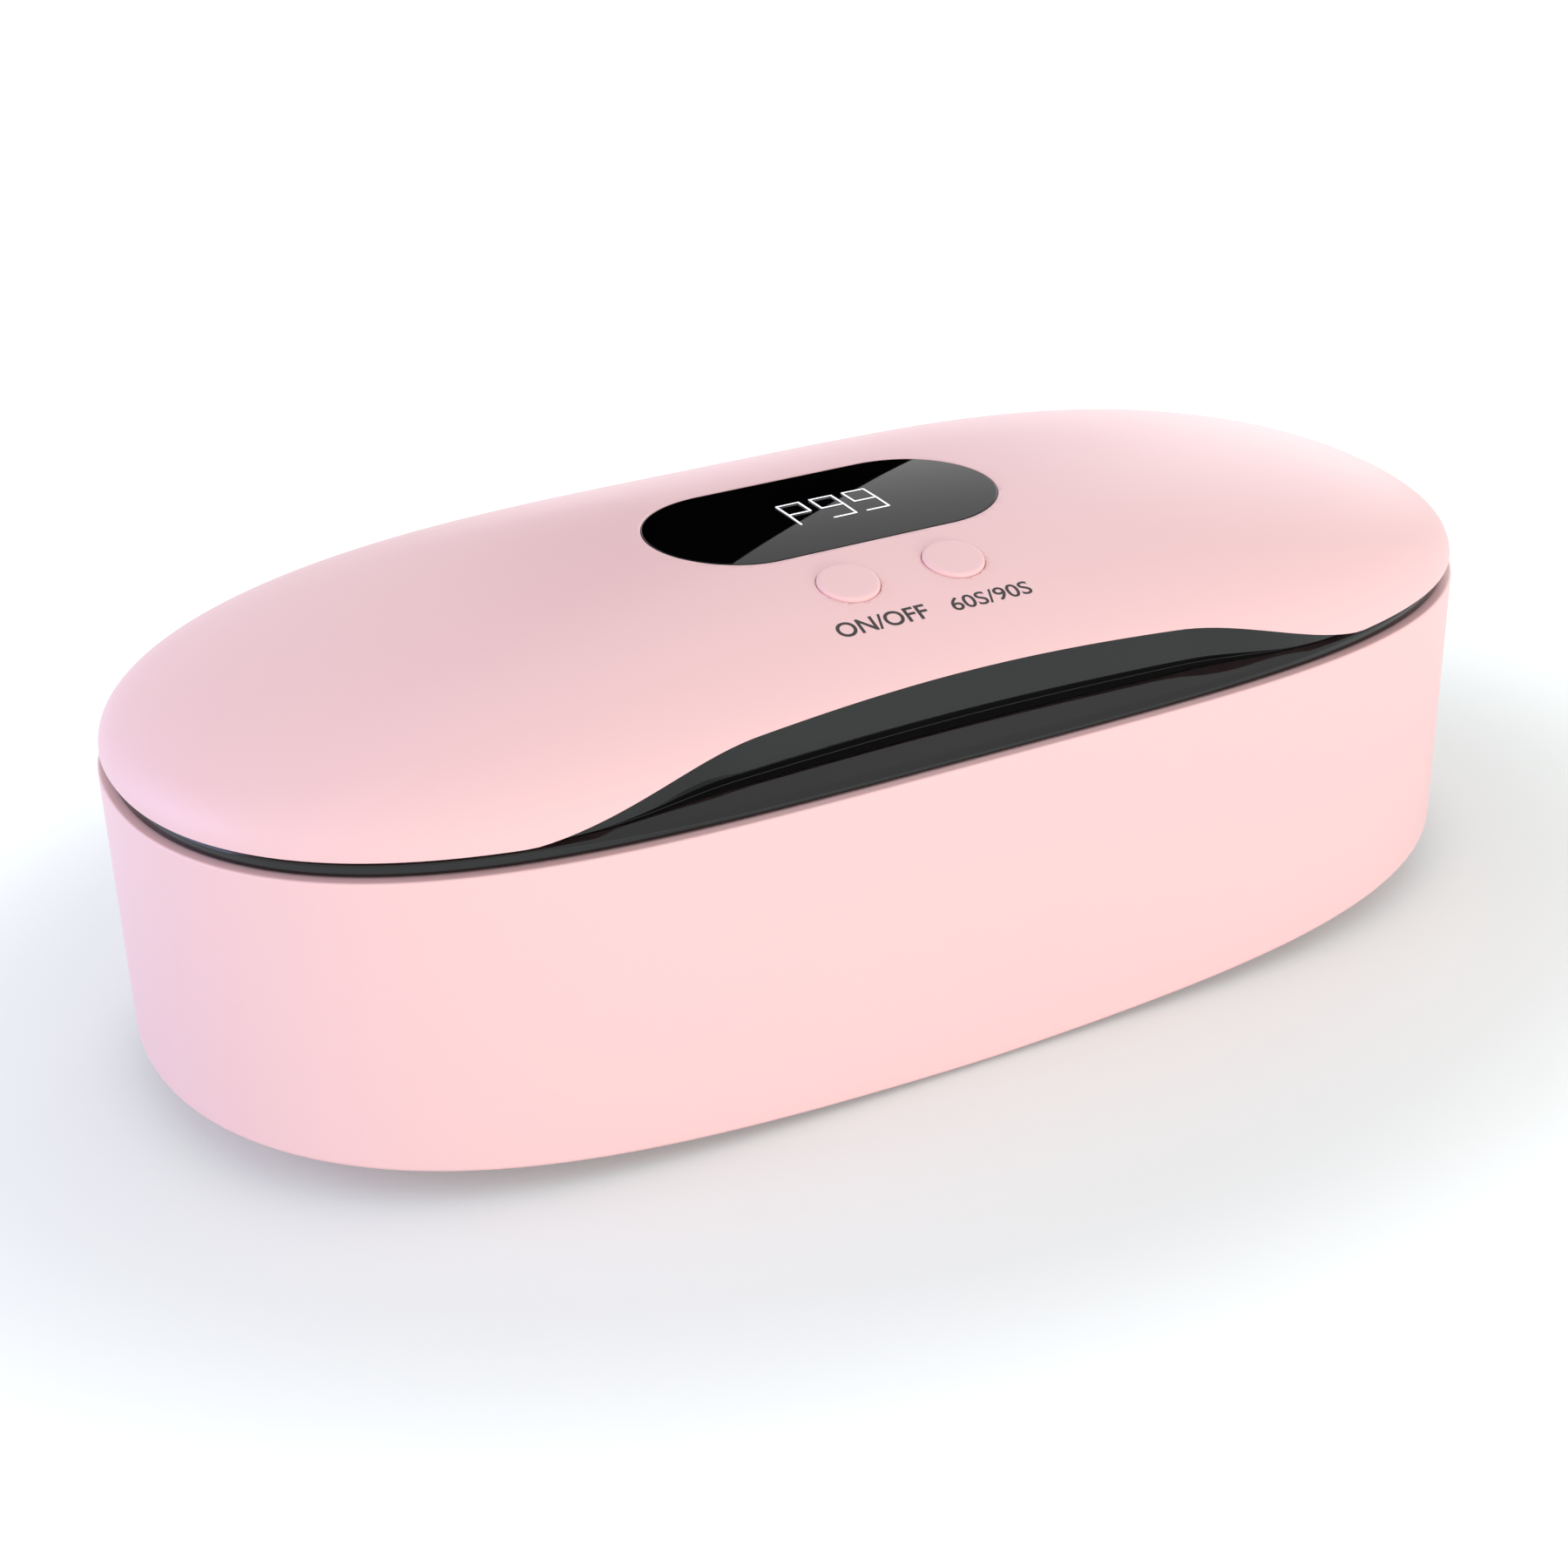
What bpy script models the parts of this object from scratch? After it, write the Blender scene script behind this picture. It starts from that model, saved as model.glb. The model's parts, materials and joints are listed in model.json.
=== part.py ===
"""UV LED nail lamp: a clamshell box with a domed lid that carries the lamps.

Blender 4.5, metres, +Z up. X runs along the long side, -Y is the front, and the lamp stands on
Z = 0. The base is a tub with a tray for the hand and the battery below it. The lid hangs on a
barrel hinge at the rear and carries the lamps, the display and two push buttons.
"""

import math

import bmesh
import bpy
from mathutils import Matrix, Vector

# ---------------------------------------------------------------- driving dimensions
CLEARANCE = 0.0003  # between pieces that touch

# plan outline at the rim: |x / half length| ** END_POWER + |y / half depth| ** SIDE_POWER = 1
LENGTH = 0.220
DEPTH = 0.1008
END_POWER = 4.05
SIDE_POWER = 2.13
COLUMNS = 64  # points round the outline, a multiple of eight

# base
RIM_HEIGHT = 0.0498
FLOOR_GAP = 0.0006  # lowest edge of the tub above the table
END_SWEEP = 0.0066  # how far the lower edge climbs towards both ends
SWEEP_POWER = 1.6
WALL = 0.0024
EDGE_BREAK = 0.0005
REBATE_DEPTH = 0.0020  # shoulder inside the rim that carries the tray
REBATE_WIDTH = 0.0018
BOTTOM_REBATE = 0.0010  # how far the wall is thinned for the bottom cover
BOTTOM_THICKNESS = 0.0018

# tray
TRAY_WALL = 0.0016
TRAY_FLANGE = 0.0120  # inset of the flange's inner edge from the rim outline
TRAY_FLOOR_HEIGHT = 0.0280
TRAY_SLOPE = 0.0050  # how much further in the foot of the tray wall lies
TRAY_CORNER = 0.0020  # chamfer where the tray wall meets its floor
MAT_END = 0.050  # mat to the lamp's end
MAT_WIDTH = 0.046
MAT_THICKNESS = 0.0015

# feet and screws
FOOT_RADIUS = 0.0050
FOOT_END = 0.052  # foot to the lamp's end
FOOT_Y = 0.024
FOOT_POCKET = 0.0008
FOOT_EDGE = 0.0006
SCREW_HEAD_RADIUS = 0.0024
SCREW_HEAD_HEIGHT = 0.0010
SCREW_SHANK_RADIUS = 0.0010
SCREW_LENGTH = 0.0060
SCREW_RUNOUT = 0.0010  # empty thread past the screw's tip
POST_RADIUS = 0.0030
BASE_POST_END = 0.034  # post to the lamp's end
BASE_POST_Y = 0.014
LID_POST_END = 0.028
LID_POST_INSET = 0.0085

# power
CELL_RADIUS = 0.0092
CELL_LENGTH = 0.065
CELL_PITCH = 0.0205
HOLDER_WALL = 0.0014
HOLDER_CHEEK = 0.0120  # height of the end cheeks over the cell's lower side
BOARD_THICKNESS = 0.0012
CHARGE_BOARD_LENGTH = 0.032
CHARGE_BOARD_WIDTH = 0.018
CHARGE_BOARD_HEIGHT = 0.0096
BOARD_POST_RADIUS = 0.0022
PORT_WIDTH = 0.0092
PORT_HEIGHT = 0.0034
PORT_DEPTH = 0.0074
PORT_WALL = 0.0004
PORT_SOCKET = 0.0055

# lid
PARTING_GAP = 0.0027  # rim to lower edge of the cover
LID_INSET = 0.0005  # lower edge of the cover inside the rim outline
DOME_RISE = 0.0194
CROWN_POWER = 2.13
DOME_ROWS = 9
INNER_ROWS = 5
LAYER_ROWS = 5
CROWN_SHARE = 0.35  # first ring from the crown, as a share of one row

# finger scoop: a wave cut in the cover's front edge, and the cove behind it
SCOOP_RISE = 0.0089
SCOOP_SAG = 0.0051
SCOOP_HALF = 0.068
SCOOP_SHOULDER = 0.034
SCOOP_EASE = 0.05
COVE_LIP = 0.0021  # underside of the cover that shows in front of the cove's wall
COVE_SHELF_RISE = 0.0015
COVE_SHELF = 0.0018  # depth of the level shelf in front of the wall
COVE_FILLET = 0.0003
COVE_NOSE = 0.0010
NOSE_LAND = 0.0001  # upright face left below the nose
LIP_REACH = math.radians(25)  # how far up the dome the level underside of the lip can reach

# liner of the lid
RING_INSET = 0.0015
RING_ROUND = 0.0008
RING_SHELF = 0.0001  # depth of the level shelf on the plain ring
RING_STEP = 0.0002  # ring below the lip's clearance
LINER_WALL = 0.0016
LINER_FLANGE = 0.0120  # inset of the flange's inner edge
LINER_FLANGE_THICKNESS = 0.0018
LINER_LAP = math.radians(11)

# lamps
PLATE_INSET = 0.0098
PLATE_THICKNESS = 0.0013
LED_BOARD_END = 0.039  # board to the lamp's end
LED_BOARD_WIDTH = 0.046
LED_BOARD_DROP = 0.0009  # plate to board
LED_RADIUS = 0.0024
LED_LENS_RADIUS = 0.0020
LED_PROUD = 0.0006
LED_LENS_HEIGHT = 0.0016
LED_COUNT_X = 5
LED_COUNT_Y = 3
LED_END_MARGIN = 0.009  # outer lamps to the board's end
LED_PITCH_Y = 0.017

# display
LENS_LENGTH = 0.0569
LENS_WIDTH = 0.0282
LENS_Y = -0.0022
LENS_THICKNESS = 0.0014
WINDOW_MARGIN = 0.0040
MODULE_LENGTH = 0.036
MODULE_WIDTH = 0.015
MODULE_THICKNESS = 0.0040
DISPLAY_BOARD_LENGTH = 0.056
DISPLAY_BOARD_WIDTH = 0.024
BOSS_RADIUS = 0.0016
BOSS_MARGIN = 0.0012  # board edge to boss

# buttons
BUTTON_RADIUS = 0.0046
BUTTON_SPACING = 0.0174
BUTTON_Y = -0.0255
BUTTON_PROUD = 0.0005
BUTTON_EDGE = 0.0007  # rounding of the cap's edge, in plan
BUTTON_TRAVEL = 0.0005
BUTTON_FLANGE = 0.0010
BUTTON_FLANGE_THICKNESS = 0.0008
BUTTON_STEM_RADIUS = 0.0012
BUTTON_STEM = 0.0012
SWITCH_SIZE = 0.0060
SWITCH_HEIGHT = 0.0030
SWITCH_NUB = 0.0010
SWITCH_NUB_SIZE = 0.0020
BUTTON_BOARD_LENGTH = 0.038
BUTTON_BOARD_WIDTH = 0.012

# hinge and magnets
BARREL_RADIUS = 0.0026
BARREL_OUTSIDE = 0.0008  # hinge axis behind the rim outline
BARREL_SPAN = 0.060
LID_KNUCKLE = 0.0240
KNUCKLE_GAP = 0.0003
SWING_CLEARANCE = 0.0004
GUSSET_HEIGHT = 0.0090
PIN_RADIUS = 0.0010
PIN_CLEARANCE = 0.0002
MAGNET_RADIUS = 0.0020
MAGNET_THICKNESS = 0.0012
MAGNET_END = 0.020
MAGNET_INSET = 0.0074

# ---------------------------------------------------------------- derived places
HALF_LENGTH = LENGTH / 2
HALF_DEPTH = DEPTH / 2
MAT_LENGTH = LENGTH - 2 * MAT_END
FOOT_X = HALF_LENGTH - FOOT_END
BASE_POST_X = HALF_LENGTH - BASE_POST_END
LID_POST_X = HALF_LENGTH - LID_POST_END
MAGNET_X = HALF_LENGTH - MAGNET_END
LED_BOARD_LENGTH = LENGTH - 2 * LED_BOARD_END
LED_PITCH_X = (LED_BOARD_LENGTH - 2 * LED_END_MARGIN) / (LED_COUNT_X - 1)
LID_EDGE = RIM_HEIGHT + PARTING_GAP
RING_TOP = LID_EDGE - CLEARANCE - RING_STEP
FLANGE_LOW = RIM_HEIGHT + CLEARANCE
FLANGE_HIGH = FLANGE_LOW + LINER_FLANGE_THICKNESS
HINGE_Y = HALF_DEPTH + BARREL_OUTSIDE
HINGE_Z = RIM_HEIGHT + PARTING_GAP / 2
REAR_SHIFT = (BARREL_OUTSIDE + BARREL_RADIUS) / 2  # centres the whole lamp on Y = 0
PLATE_LOW = FLANGE_HIGH + CLEARANCE
LED_BOARD_LOW = PLATE_LOW + PLATE_THICKNESS + LED_BOARD_DROP
TRAY_UNDERSIDE = TRAY_FLOOR_HEIGHT - TRAY_WALL
SCREW_HOLE_RADIUS = SCREW_SHANK_RADIUS + CLEARANCE
PLACE = Matrix.Translation((0, -REAR_SHIFT, 0))


# ---------------------------------------------------------------- outline and dome
def outline_quarter(steps):
    """Evenly spaced (x, y, normal x, normal y) on the rim outline, from +X round to +Y."""
    fine = 2000
    points = []
    for i in range(fine + 1):
        angle = math.pi / 2 * i / fine
        x = HALF_LENGTH * abs(math.cos(angle)) ** (2 / END_POWER)
        y = HALF_DEPTH * abs(math.sin(angle)) ** (2 / SIDE_POWER)
        points.append((x, y))
    lengths = [0.0]
    for a, b in zip(points, points[1:]):
        lengths.append(lengths[-1] + math.dist(a, b))
    quarter = []
    for i in range(steps + 1):
        target = lengths[-1] * i / steps
        at = min(range(fine + 1), key=lambda j: abs(lengths[j] - target))
        x, y = points[at]
        quarter.append((x, y, *outline_normal(x, y)))
    return quarter


def outline_normal(x, y):
    """Unit normal of the outline through (x, y), or of its scaled copy."""
    along = END_POWER / HALF_LENGTH * (abs(x) / HALF_LENGTH) ** (END_POWER - 1)
    across = SIDE_POWER / HALF_DEPTH * (abs(y) / HALF_DEPTH) ** (SIDE_POWER - 1)
    size = math.hypot(along, across)
    return math.copysign(along, x) / size, math.copysign(across, y) / size


def outline_columns(count):
    """The whole outline, anticlockwise from +X, as (x, y, normal x, normal y)."""
    quarter = outline_quarter(count // 4)
    columns = []
    columns += [(x, y, nx, ny) for x, y, nx, ny in quarter[:-1]]
    columns += [(-x, y, -nx, ny) for x, y, nx, ny in reversed(quarter[1:])]
    columns += [(-x, -y, -nx, -ny) for x, y, nx, ny in quarter[:-1]]
    columns += [(x, -y, nx, -ny) for x, y, nx, ny in reversed(quarter[1:])]
    return columns


RIM = outline_columns(COLUMNS)
COARSE_RIM = outline_columns(COLUMNS // 2)


def inset_point(column, inset, z):
    x, y, nx, ny = column
    return Vector((x - inset * nx, y - inset * ny, z))


def depth_at(x, inset):
    """Half depth of the outline at x, inset along its normal."""
    line = sorted(tuple(inset_point(c, inset, 0))[:2] for c in RIM if c[1] >= -1e-9)
    for (x0, y0), (x1, y1) in zip(line, line[1:]):
        if x0 <= x <= x1:
            return y0 + (y1 - y0) * (x - x0) / max(x1 - x0, 1e-9)
    return 0.0


def lower_edge(x):
    """Height of the tub's lower edge."""
    return FLOOR_GAP + END_SWEEP * min(abs(x) / HALF_LENGTH, 1) ** SWEEP_POWER


def wave_height(x):
    """Height of the wave cut over the lid's lower edge."""
    t = min(max((SCOOP_HALF - abs(x)) / SCOOP_SHOULDER, 0), 1)
    t = (1 + SCOOP_EASE) * t * t / (t + SCOOP_EASE)
    return (SCOOP_RISE - SCOOP_SAG * (x / SCOOP_HALF) ** 2) * math.sin(math.pi / 2 * t)


def dome(column, angle, below=0.0):
    """A point of the lid's dome. angle is 0 at the crown and a quarter turn at the edge."""
    edge = inset_point(column, LID_INSET, 0)
    nx, ny = column[2], column[3]
    reach = nx * edge.x + ny * edge.y
    spread = DOME_RISE * 2 / CROWN_POWER * math.sin(angle) / reach
    rise = max(math.cos(angle), 0)
    normal = Vector((spread * nx, spread * ny, rise ** (2 - 2 / CROWN_POWER))).normalized()
    scale = math.sin(angle)
    z = LID_EDGE + DOME_RISE * rise ** (2 / CROWN_POWER)
    return Vector((edge.x * scale, edge.y * scale, z)) - below * normal


def dome_frame(x, y):
    """The dome over (x, y) as a matrix: Z is the outward normal, X runs along the lamp."""
    low, high = 0.0, 1.0
    for _ in range(50):
        scale = (low + high) / 2
        along = (abs(x) / (scale * (HALF_LENGTH - LID_INSET))) ** END_POWER
        across = (abs(y) / (scale * (HALF_DEPTH - LID_INSET))) ** SIDE_POWER
        low, high = (scale, high) if along + across > 1 else (low, scale)
    nx, ny = outline_normal(x / scale, y / scale)
    column = (x / scale + LID_INSET * nx, y / scale + LID_INSET * ny, nx, ny)
    point = dome(column, math.asin(scale))
    normal = (point - dome(column, math.asin(scale), 0.001)).normalized()
    along = Vector((1, 0, 0)) - normal.x * normal
    along.normalize()
    across = normal.cross(along)
    turn = Matrix((along, across, normal)).transposed().to_4x4()
    return Matrix.Translation(point) @ turn


def edge_angle(column):
    """Dome angle of the cover's lower edge on this column: lower inside the wave cut."""
    if column[1] >= 0 or abs(column[0]) >= SCOOP_HALF:
        return math.pi / 2
    edge = inset_point(column, LID_INSET, 0)
    low, high = math.radians(45), math.pi / 2
    for _ in range(50):
        angle = (low + high) / 2
        height = DOME_RISE * math.cos(angle) ** (2 / CROWN_POWER)
        above = height > wave_height(edge.x * math.sin(angle))
        low, high = (angle, high) if above else (low, angle)
    return angle


def level_angle(column, edge, below, z):
    """Dome angle at which the offset surface has come down to height z, at most the edge's."""
    low, high = edge - LIP_REACH, edge
    for _ in range(50):
        angle = (low + high) / 2
        low, high = (angle, high) if dome(column, angle, below).z > z else (low, angle)
    return high


def level_point(column, edge, below, z):
    """Point of the offset surface at height z, or straight under its edge."""
    point = dome(column, level_angle(column, edge, below, z), below)
    return Vector((point.x, point.y, z))


def lap_end(column, edge):
    """Dome angle where the liner's lap under the cover ends."""
    return level_angle(column, edge, WALL, dome(column, edge).z) - LINER_LAP


def inset_of(column, point):
    """How far a point lies inside the rim outline on this column."""
    return column[2] * (column[0] - point.x) + column[3] * (column[1] - point.y)


def scoop_share(column):
    """1 in the middle of the finger scoop, 0 where the liner is a plain ring."""
    if column[1] >= 0:
        return 0.0
    return wave_height(column[0]) / SCOOP_RISE


# ---------------------------------------------------------------- mesh helpers
def material(name, colour, roughness, metallic=0.0):
    made = bpy.data.materials.get(name) or bpy.data.materials.new(name)
    made.use_nodes = True
    shader = made.node_tree.nodes["Principled BSDF"]
    shader.inputs["Base Color"].default_value = (*colour, 1)
    shader.inputs["Roughness"].default_value = roughness
    shader.inputs["Metallic"].default_value = metallic
    made.diffuse_color = (*colour, 1)
    return made


def new_object(name, mesh_builder, finish=None):
    """Makes an object from a bmesh with all faces turned outward."""
    bmesh.ops.recalc_face_normals(mesh_builder, faces=mesh_builder.faces)
    mesh = bpy.data.meshes.new(name)
    mesh_builder.to_mesh(mesh)
    mesh_builder.free()
    mesh.shade_smooth()
    mesh.set_sharp_from_angle(angle=math.radians(30))
    obj = bpy.data.objects.new(name, mesh)
    bpy.context.scene.collection.objects.link(obj)
    if finish:
        mesh.materials.append(finish)
    else:
        obj.hide_render = True
        obj.display_type = "WIRE"
    return obj


def add_rings(build, rings, closed_profile):
    """Bridges rings of points with triangles, which split alike in nested skins.

    An open profile is capped at both ends.
    """
    loops = [[build.verts.new(p) for p in ring] for ring in rings]
    pairs = list(zip(loops, loops[1:]))
    if closed_profile:
        pairs.append((loops[-1], loops[0]))
    else:
        build.faces.new(loops[0])
        build.faces.new(loops[-1])
    count = len(loops[0])
    for low, high in pairs:
        for i in range(count):
            j = (i + 1) % count
            build.faces.new((low[i], low[j], high[j]))
            build.faces.new((low[i], high[j], high[i]))


def ring_body(name, rings, finish=None):
    build = bmesh.new()
    add_rings(build, rings, closed_profile=True)
    return new_object(name, build, finish)


def capped_body(name, rings, finish=None):
    build = bmesh.new()
    add_rings(build, rings, closed_profile=False)
    return new_object(name, build, finish)


def circle(radius, segments, centre=(0, 0), start=0.0):
    turn = 2 * math.pi / segments
    return [
        (centre[0] + radius * math.cos(start + turn * i), centre[1] + radius * math.sin(start + turn * i))
        for i in range(segments)
    ]


def stadium(length, width, segments=8):
    """A slot outline centred on the origin, with round ends."""
    radius = width / 2
    reach = length / 2 - radius
    points = []
    for centre, start in ((reach, -math.pi / 2), (-reach, math.pi / 2)):
        for i in range(segments + 1):
            angle = start + math.pi * i / segments
            points.append((centre + radius * math.cos(angle), radius * math.sin(angle)))
    return points


def prism(name, outline, low, high, finish=None):
    """An outline in X and Y, given height from low to high."""
    rings = [[Vector((x, y, z)) for x, y in outline] for z in (low, high)]
    return capped_body(name, rings, finish)


def prism_along_x(name, outline, start, end, finish=None):
    """An outline in Y and Z, extruded along X."""
    rings = [[Vector((x, y, z)) for y, z in outline] for x in (start, end)]
    return capped_body(name, rings, finish)


def prism_along_y(name, outline, start, end, finish=None):
    """An outline in X and Z, extruded along Y."""
    rings = [[Vector((x, y, z)) for x, z in outline] for y in (start, end)]
    return capped_body(name, rings, finish)


def turned(name, profile, segments, finish, at=(0, 0)):
    """A turned body about Z. profile runs from the axis at the bottom to the axis at the top."""
    build = bmesh.new()
    foot = build.verts.new((0, 0, profile[0][1]))
    top = build.verts.new((0, 0, profile[-1][1]))
    loops = []
    for radius, z in profile[1:-1]:
        loops.append([build.verts.new((x, y, z)) for x, y in circle(radius, segments)])
    for low, high in zip(loops, loops[1:]):
        for i in range(segments):
            j = (i + 1) % segments
            build.faces.new((low[i], low[j], high[j], high[i]))
    for i in range(segments):
        j = (i + 1) % segments
        build.faces.new((foot, loops[0][j], loops[0][i]))
        build.faces.new((top, loops[-1][i], loops[-1][j]))
    obj = new_object(name, build, finish)
    obj.location = (*at, 0)
    return obj


def cylinder(name, radius, low, high, segments=16, at=(0, 0), finish=None):
    return prism(name, circle(radius, segments, at), low, high, finish)


def box(name, size, low_centre, finish=None):
    """A block that stands on low_centre."""
    x, y, z = low_centre
    outline = [
        (x - size[0] / 2, y - size[1] / 2),
        (x + size[0] / 2, y - size[1] / 2),
        (x + size[0] / 2, y + size[1] / 2),
        (x - size[0] / 2, y + size[1] / 2),
    ]
    return prism(name, outline, z, z + size[2], finish)


def combine(target, tool, operation):
    """Adds a live Boolean. The tool stays in the scene as a hidden helper."""
    modifier = target.modifiers.new(operation.title() + " " + tool.name, "BOOLEAN")
    modifier.operation = operation
    modifier.solver = "EXACT"
    modifier.object = tool


def cut(target, tool):
    combine(target, tool, "DIFFERENCE")


def join(target, tool):
    combine(target, tool, "UNION")


def strip_plate(name, inset, low, high, finish):
    """A plate inside the outline whose two faces may curve along X: low(x) and high(x)."""
    half = COARSE_RIM[: len(COARSE_RIM) // 2 + 1]
    build = bmesh.new()
    rows = []
    for column in half:
        at = inset_point(column, inset, 0)
        sides = (0,) if abs(at.y) < 1e-6 else (-at.y, at.y)
        rows.append([[build.verts.new((at.x, y, f(at.x))) for y in sides] for f in (low, high)])
    for (low_a, high_a), (low_b, high_b) in zip(rows, rows[1:]):
        for a, b in ((low_a, low_b), (high_a, high_b)):
            build.faces.new(list(dict.fromkeys((a[0], a[-1], b[-1], b[0]))))
        for side in (0, -1):
            build.faces.new((low_a[side], high_a[side], high_b[side], low_b[side]))
    return new_object(name, build, finish)


def many_cylinders(name, places, radius, low, high, segments=16):
    """A helper with one cylinder at each (x, y)."""
    build = bmesh.new()
    for place in places:
        outline = circle(radius, segments, place)
        add_rings(build, [[Vector((x, y, z)) for x, y in outline] for z in (low, high)], closed_profile=False)
    return new_object(name, build)


def hang(obj, frame):
    """Parents an object to an empty and keeps it where it was modelled."""
    modelled = obj.matrix_basis.copy()
    obj.parent = frame
    obj.matrix_basis = frame.matrix_world.inverted() @ PLACE @ modelled


def empty(name, modelled, parent=None):
    made = bpy.data.objects.new(name, None)
    made.empty_display_size = 0.01
    bpy.context.scene.collection.objects.link(made)
    made.matrix_basis = modelled
    if parent:
        hang(made, parent)
    bpy.context.view_layer.update()
    return made


# ---------------------------------------------------------------- finishes
def pink():
    return material("pink_plastic", (0.92, 0.62, 0.62), 0.42)


def black_gloss():
    return material("black_gloss", (0.012, 0.012, 0.013), 0.12)


def black_glass():
    return material("display_glass", (0.006, 0.006, 0.007), 0.05)


def white_plastic():
    return material("white_plastic", (0.82, 0.82, 0.84), 0.35)


def silicone():
    return material("grey_silicone", (0.55, 0.55, 0.57), 0.7)


def rubber():
    return material("rubber", (0.05, 0.05, 0.05), 0.8)


def steel():
    return material("steel", (0.62, 0.62, 0.64), 0.3, 1.0)


def magnet_nickel():
    return material("magnet_nickel", (0.7, 0.68, 0.64), 0.25, 1.0)


def board_green():
    return material("circuit_board", (0.03, 0.16, 0.09), 0.45)


def white_board():
    return material("white_board", (0.85, 0.85, 0.86), 0.4)


def cell_wrap():
    return material("cell_wrap", (0.06, 0.22, 0.55), 0.35)


def led_lens():
    return material("led_lens", (0.75, 0.72, 0.55), 0.15)


def switch_black():
    return material("switch_black", (0.03, 0.03, 0.03), 0.5)


# ---------------------------------------------------------------- base
def make_base_shell():
    """Tub wall with a flat rim ledge, a shoulder for the tray and a rebate for the bottom cover."""
    inner_top = RIM_HEIGHT - REBATE_DEPTH
    thin = WALL - BOTTOM_REBATE
    seat = BOTTOM_THICKNESS + CLEARANCE
    profile = [
        lambda low: (EDGE_BREAK, low),
        lambda low: (0, low + EDGE_BREAK),
        lambda low: (0, RIM_HEIGHT - EDGE_BREAK / 2),
        lambda low: (EDGE_BREAK / 2, RIM_HEIGHT),
        lambda low: (WALL, RIM_HEIGHT),
        lambda low: (WALL, inner_top),
        lambda low: (WALL + REBATE_WIDTH, inner_top),
        lambda low: (WALL + REBATE_WIDTH, inner_top - REBATE_WIDTH / 2),
        lambda low: (WALL, inner_top - 2 * REBATE_WIDTH),
        lambda low: (WALL, low + seat),
        lambda low: (thin, low + seat),
        lambda low: (thin, low),
    ]
    rings = []
    for point in profile:
        rings.append([inset_point(c, *point(lower_edge(c[0]))) for c in RIM])
    shell = ring_body("base_shell", rings, pink())
    for side in (-1, 1):
        join(shell, base_knuckle(side))
    reach = LID_KNUCKLE / 2 + KNUCKLE_GAP
    cut(shell, barrel_swing("lid_knuckle_swing", -reach, reach))
    cut(shell, pin_bore("base_pin_bore"))
    slot = stadium(PORT_WIDTH + 4 * CLEARANCE, PORT_HEIGHT + 4 * CLEARANCE)
    mouth = [(x, z + port_height()) for x, z in slot]
    cut(shell, prism_along_y("port_mouth", mouth, HALF_DEPTH - 3 * WALL, HALF_DEPTH + WALL))
    return shell


def base_knuckle(side):
    """Barrel moulded on the tub, with a gusset that runs down into the wall."""
    ends = (side * (LID_KNUCKLE / 2 + KNUCKLE_GAP), side * BARREL_SPAN / 2)
    outline = []
    for step in range(11):
        angle = math.radians(-35 + 25 * step)
        outline.append((HINGE_Y + BARREL_RADIUS * math.cos(angle), HINGE_Z + BARREL_RADIUS * math.sin(angle)))
    outline.append((HALF_DEPTH - WALL / 2, RIM_HEIGHT - GUSSET_HEIGHT))
    return prism_along_x("base_knuckle" + ("_right" if side > 0 else "_left"), outline, min(ends), max(ends))


def barrel_swing(name, start, end):
    """Room round the hinge axis for the other half's knuckles."""
    outline = circle(BARREL_RADIUS + SWING_CLEARANCE, 20, (HINGE_Y, HINGE_Z))
    return prism_along_x(name, outline, start, end)


def pin_bore(name):
    outline = circle(PIN_RADIUS + PIN_CLEARANCE, 16, (HINGE_Y, HINGE_Z))
    return prism_along_x(name, outline, -BARREL_SPAN, BARREL_SPAN)


def make_hinge_pin():
    outline = circle(PIN_RADIUS, 16, (HINGE_Y, HINGE_Z))
    half = BARREL_SPAN / 2 - CLEARANCE
    return prism_along_x("hinge_pin", outline, -half, half, steel())


def bottom_face(x):
    """Height of the bottom cover's outer face, flush with the tub's lower edge."""
    return lower_edge(x)


def bottom_inner_face(x):
    return bottom_face(x) + BOTTOM_THICKNESS


def foot_top():
    return bottom_face(FOOT_X) + FOOT_POCKET - CLEARANCE


def corners(x, y):
    """(name, x, y) of a piece at each corner."""
    return [
        ("front_left", -x, -y),
        ("front_right", x, -y),
        ("rear_left", -x, y),
        ("rear_right", x, y),
    ]


def spots(places):
    return [(x, y) for _, x, y in places]


def foot_places():
    return corners(FOOT_X, FOOT_Y)


def base_post_places():
    return corners(BASE_POST_X, BASE_POST_Y)


def make_base_bottom():
    """Bottom cover, curved like the tub's lower edge, with foot pockets and board posts."""
    inset = WALL - BOTTOM_REBATE + CLEARANCE
    plate = strip_plate("base_bottom", inset, bottom_face, bottom_inner_face, pink())
    pocket_radius = FOOT_RADIUS + CLEARANCE
    cut(plate, many_cylinders("foot_pockets", spots(foot_places()), pocket_radius, 0, foot_top() + CLEARANCE))
    screws = spots(base_post_places())
    head_top = bottom_face(BASE_POST_X) + SCREW_HEAD_HEIGHT + CLEARANCE
    cut(plate, many_cylinders("bottom_head_recesses", screws, SCREW_HEAD_RADIUS + CLEARANCE, 0, head_top))
    cut(plate, many_cylinders("bottom_screw_holes", screws, SCREW_HOLE_RADIUS, 0, RIM_HEIGHT, 12))
    reach = CHARGE_BOARD_LENGTH / 2 - 2 * BOARD_POST_RADIUS
    front = charge_board_front() + 2 * BOARD_POST_RADIUS
    back = charge_board_back() - 2 * BOARD_POST_RADIUS
    places = [(-reach, front), (reach, front), (-reach, back), (reach, back)]
    low = bottom_face(reach) + BOTTOM_THICKNESS / 2
    high = CHARGE_BOARD_HEIGHT - CLEARANCE
    join(plate, many_cylinders("board_posts", places, BOARD_POST_RADIUS, low, high, 12))
    return plate


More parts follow.
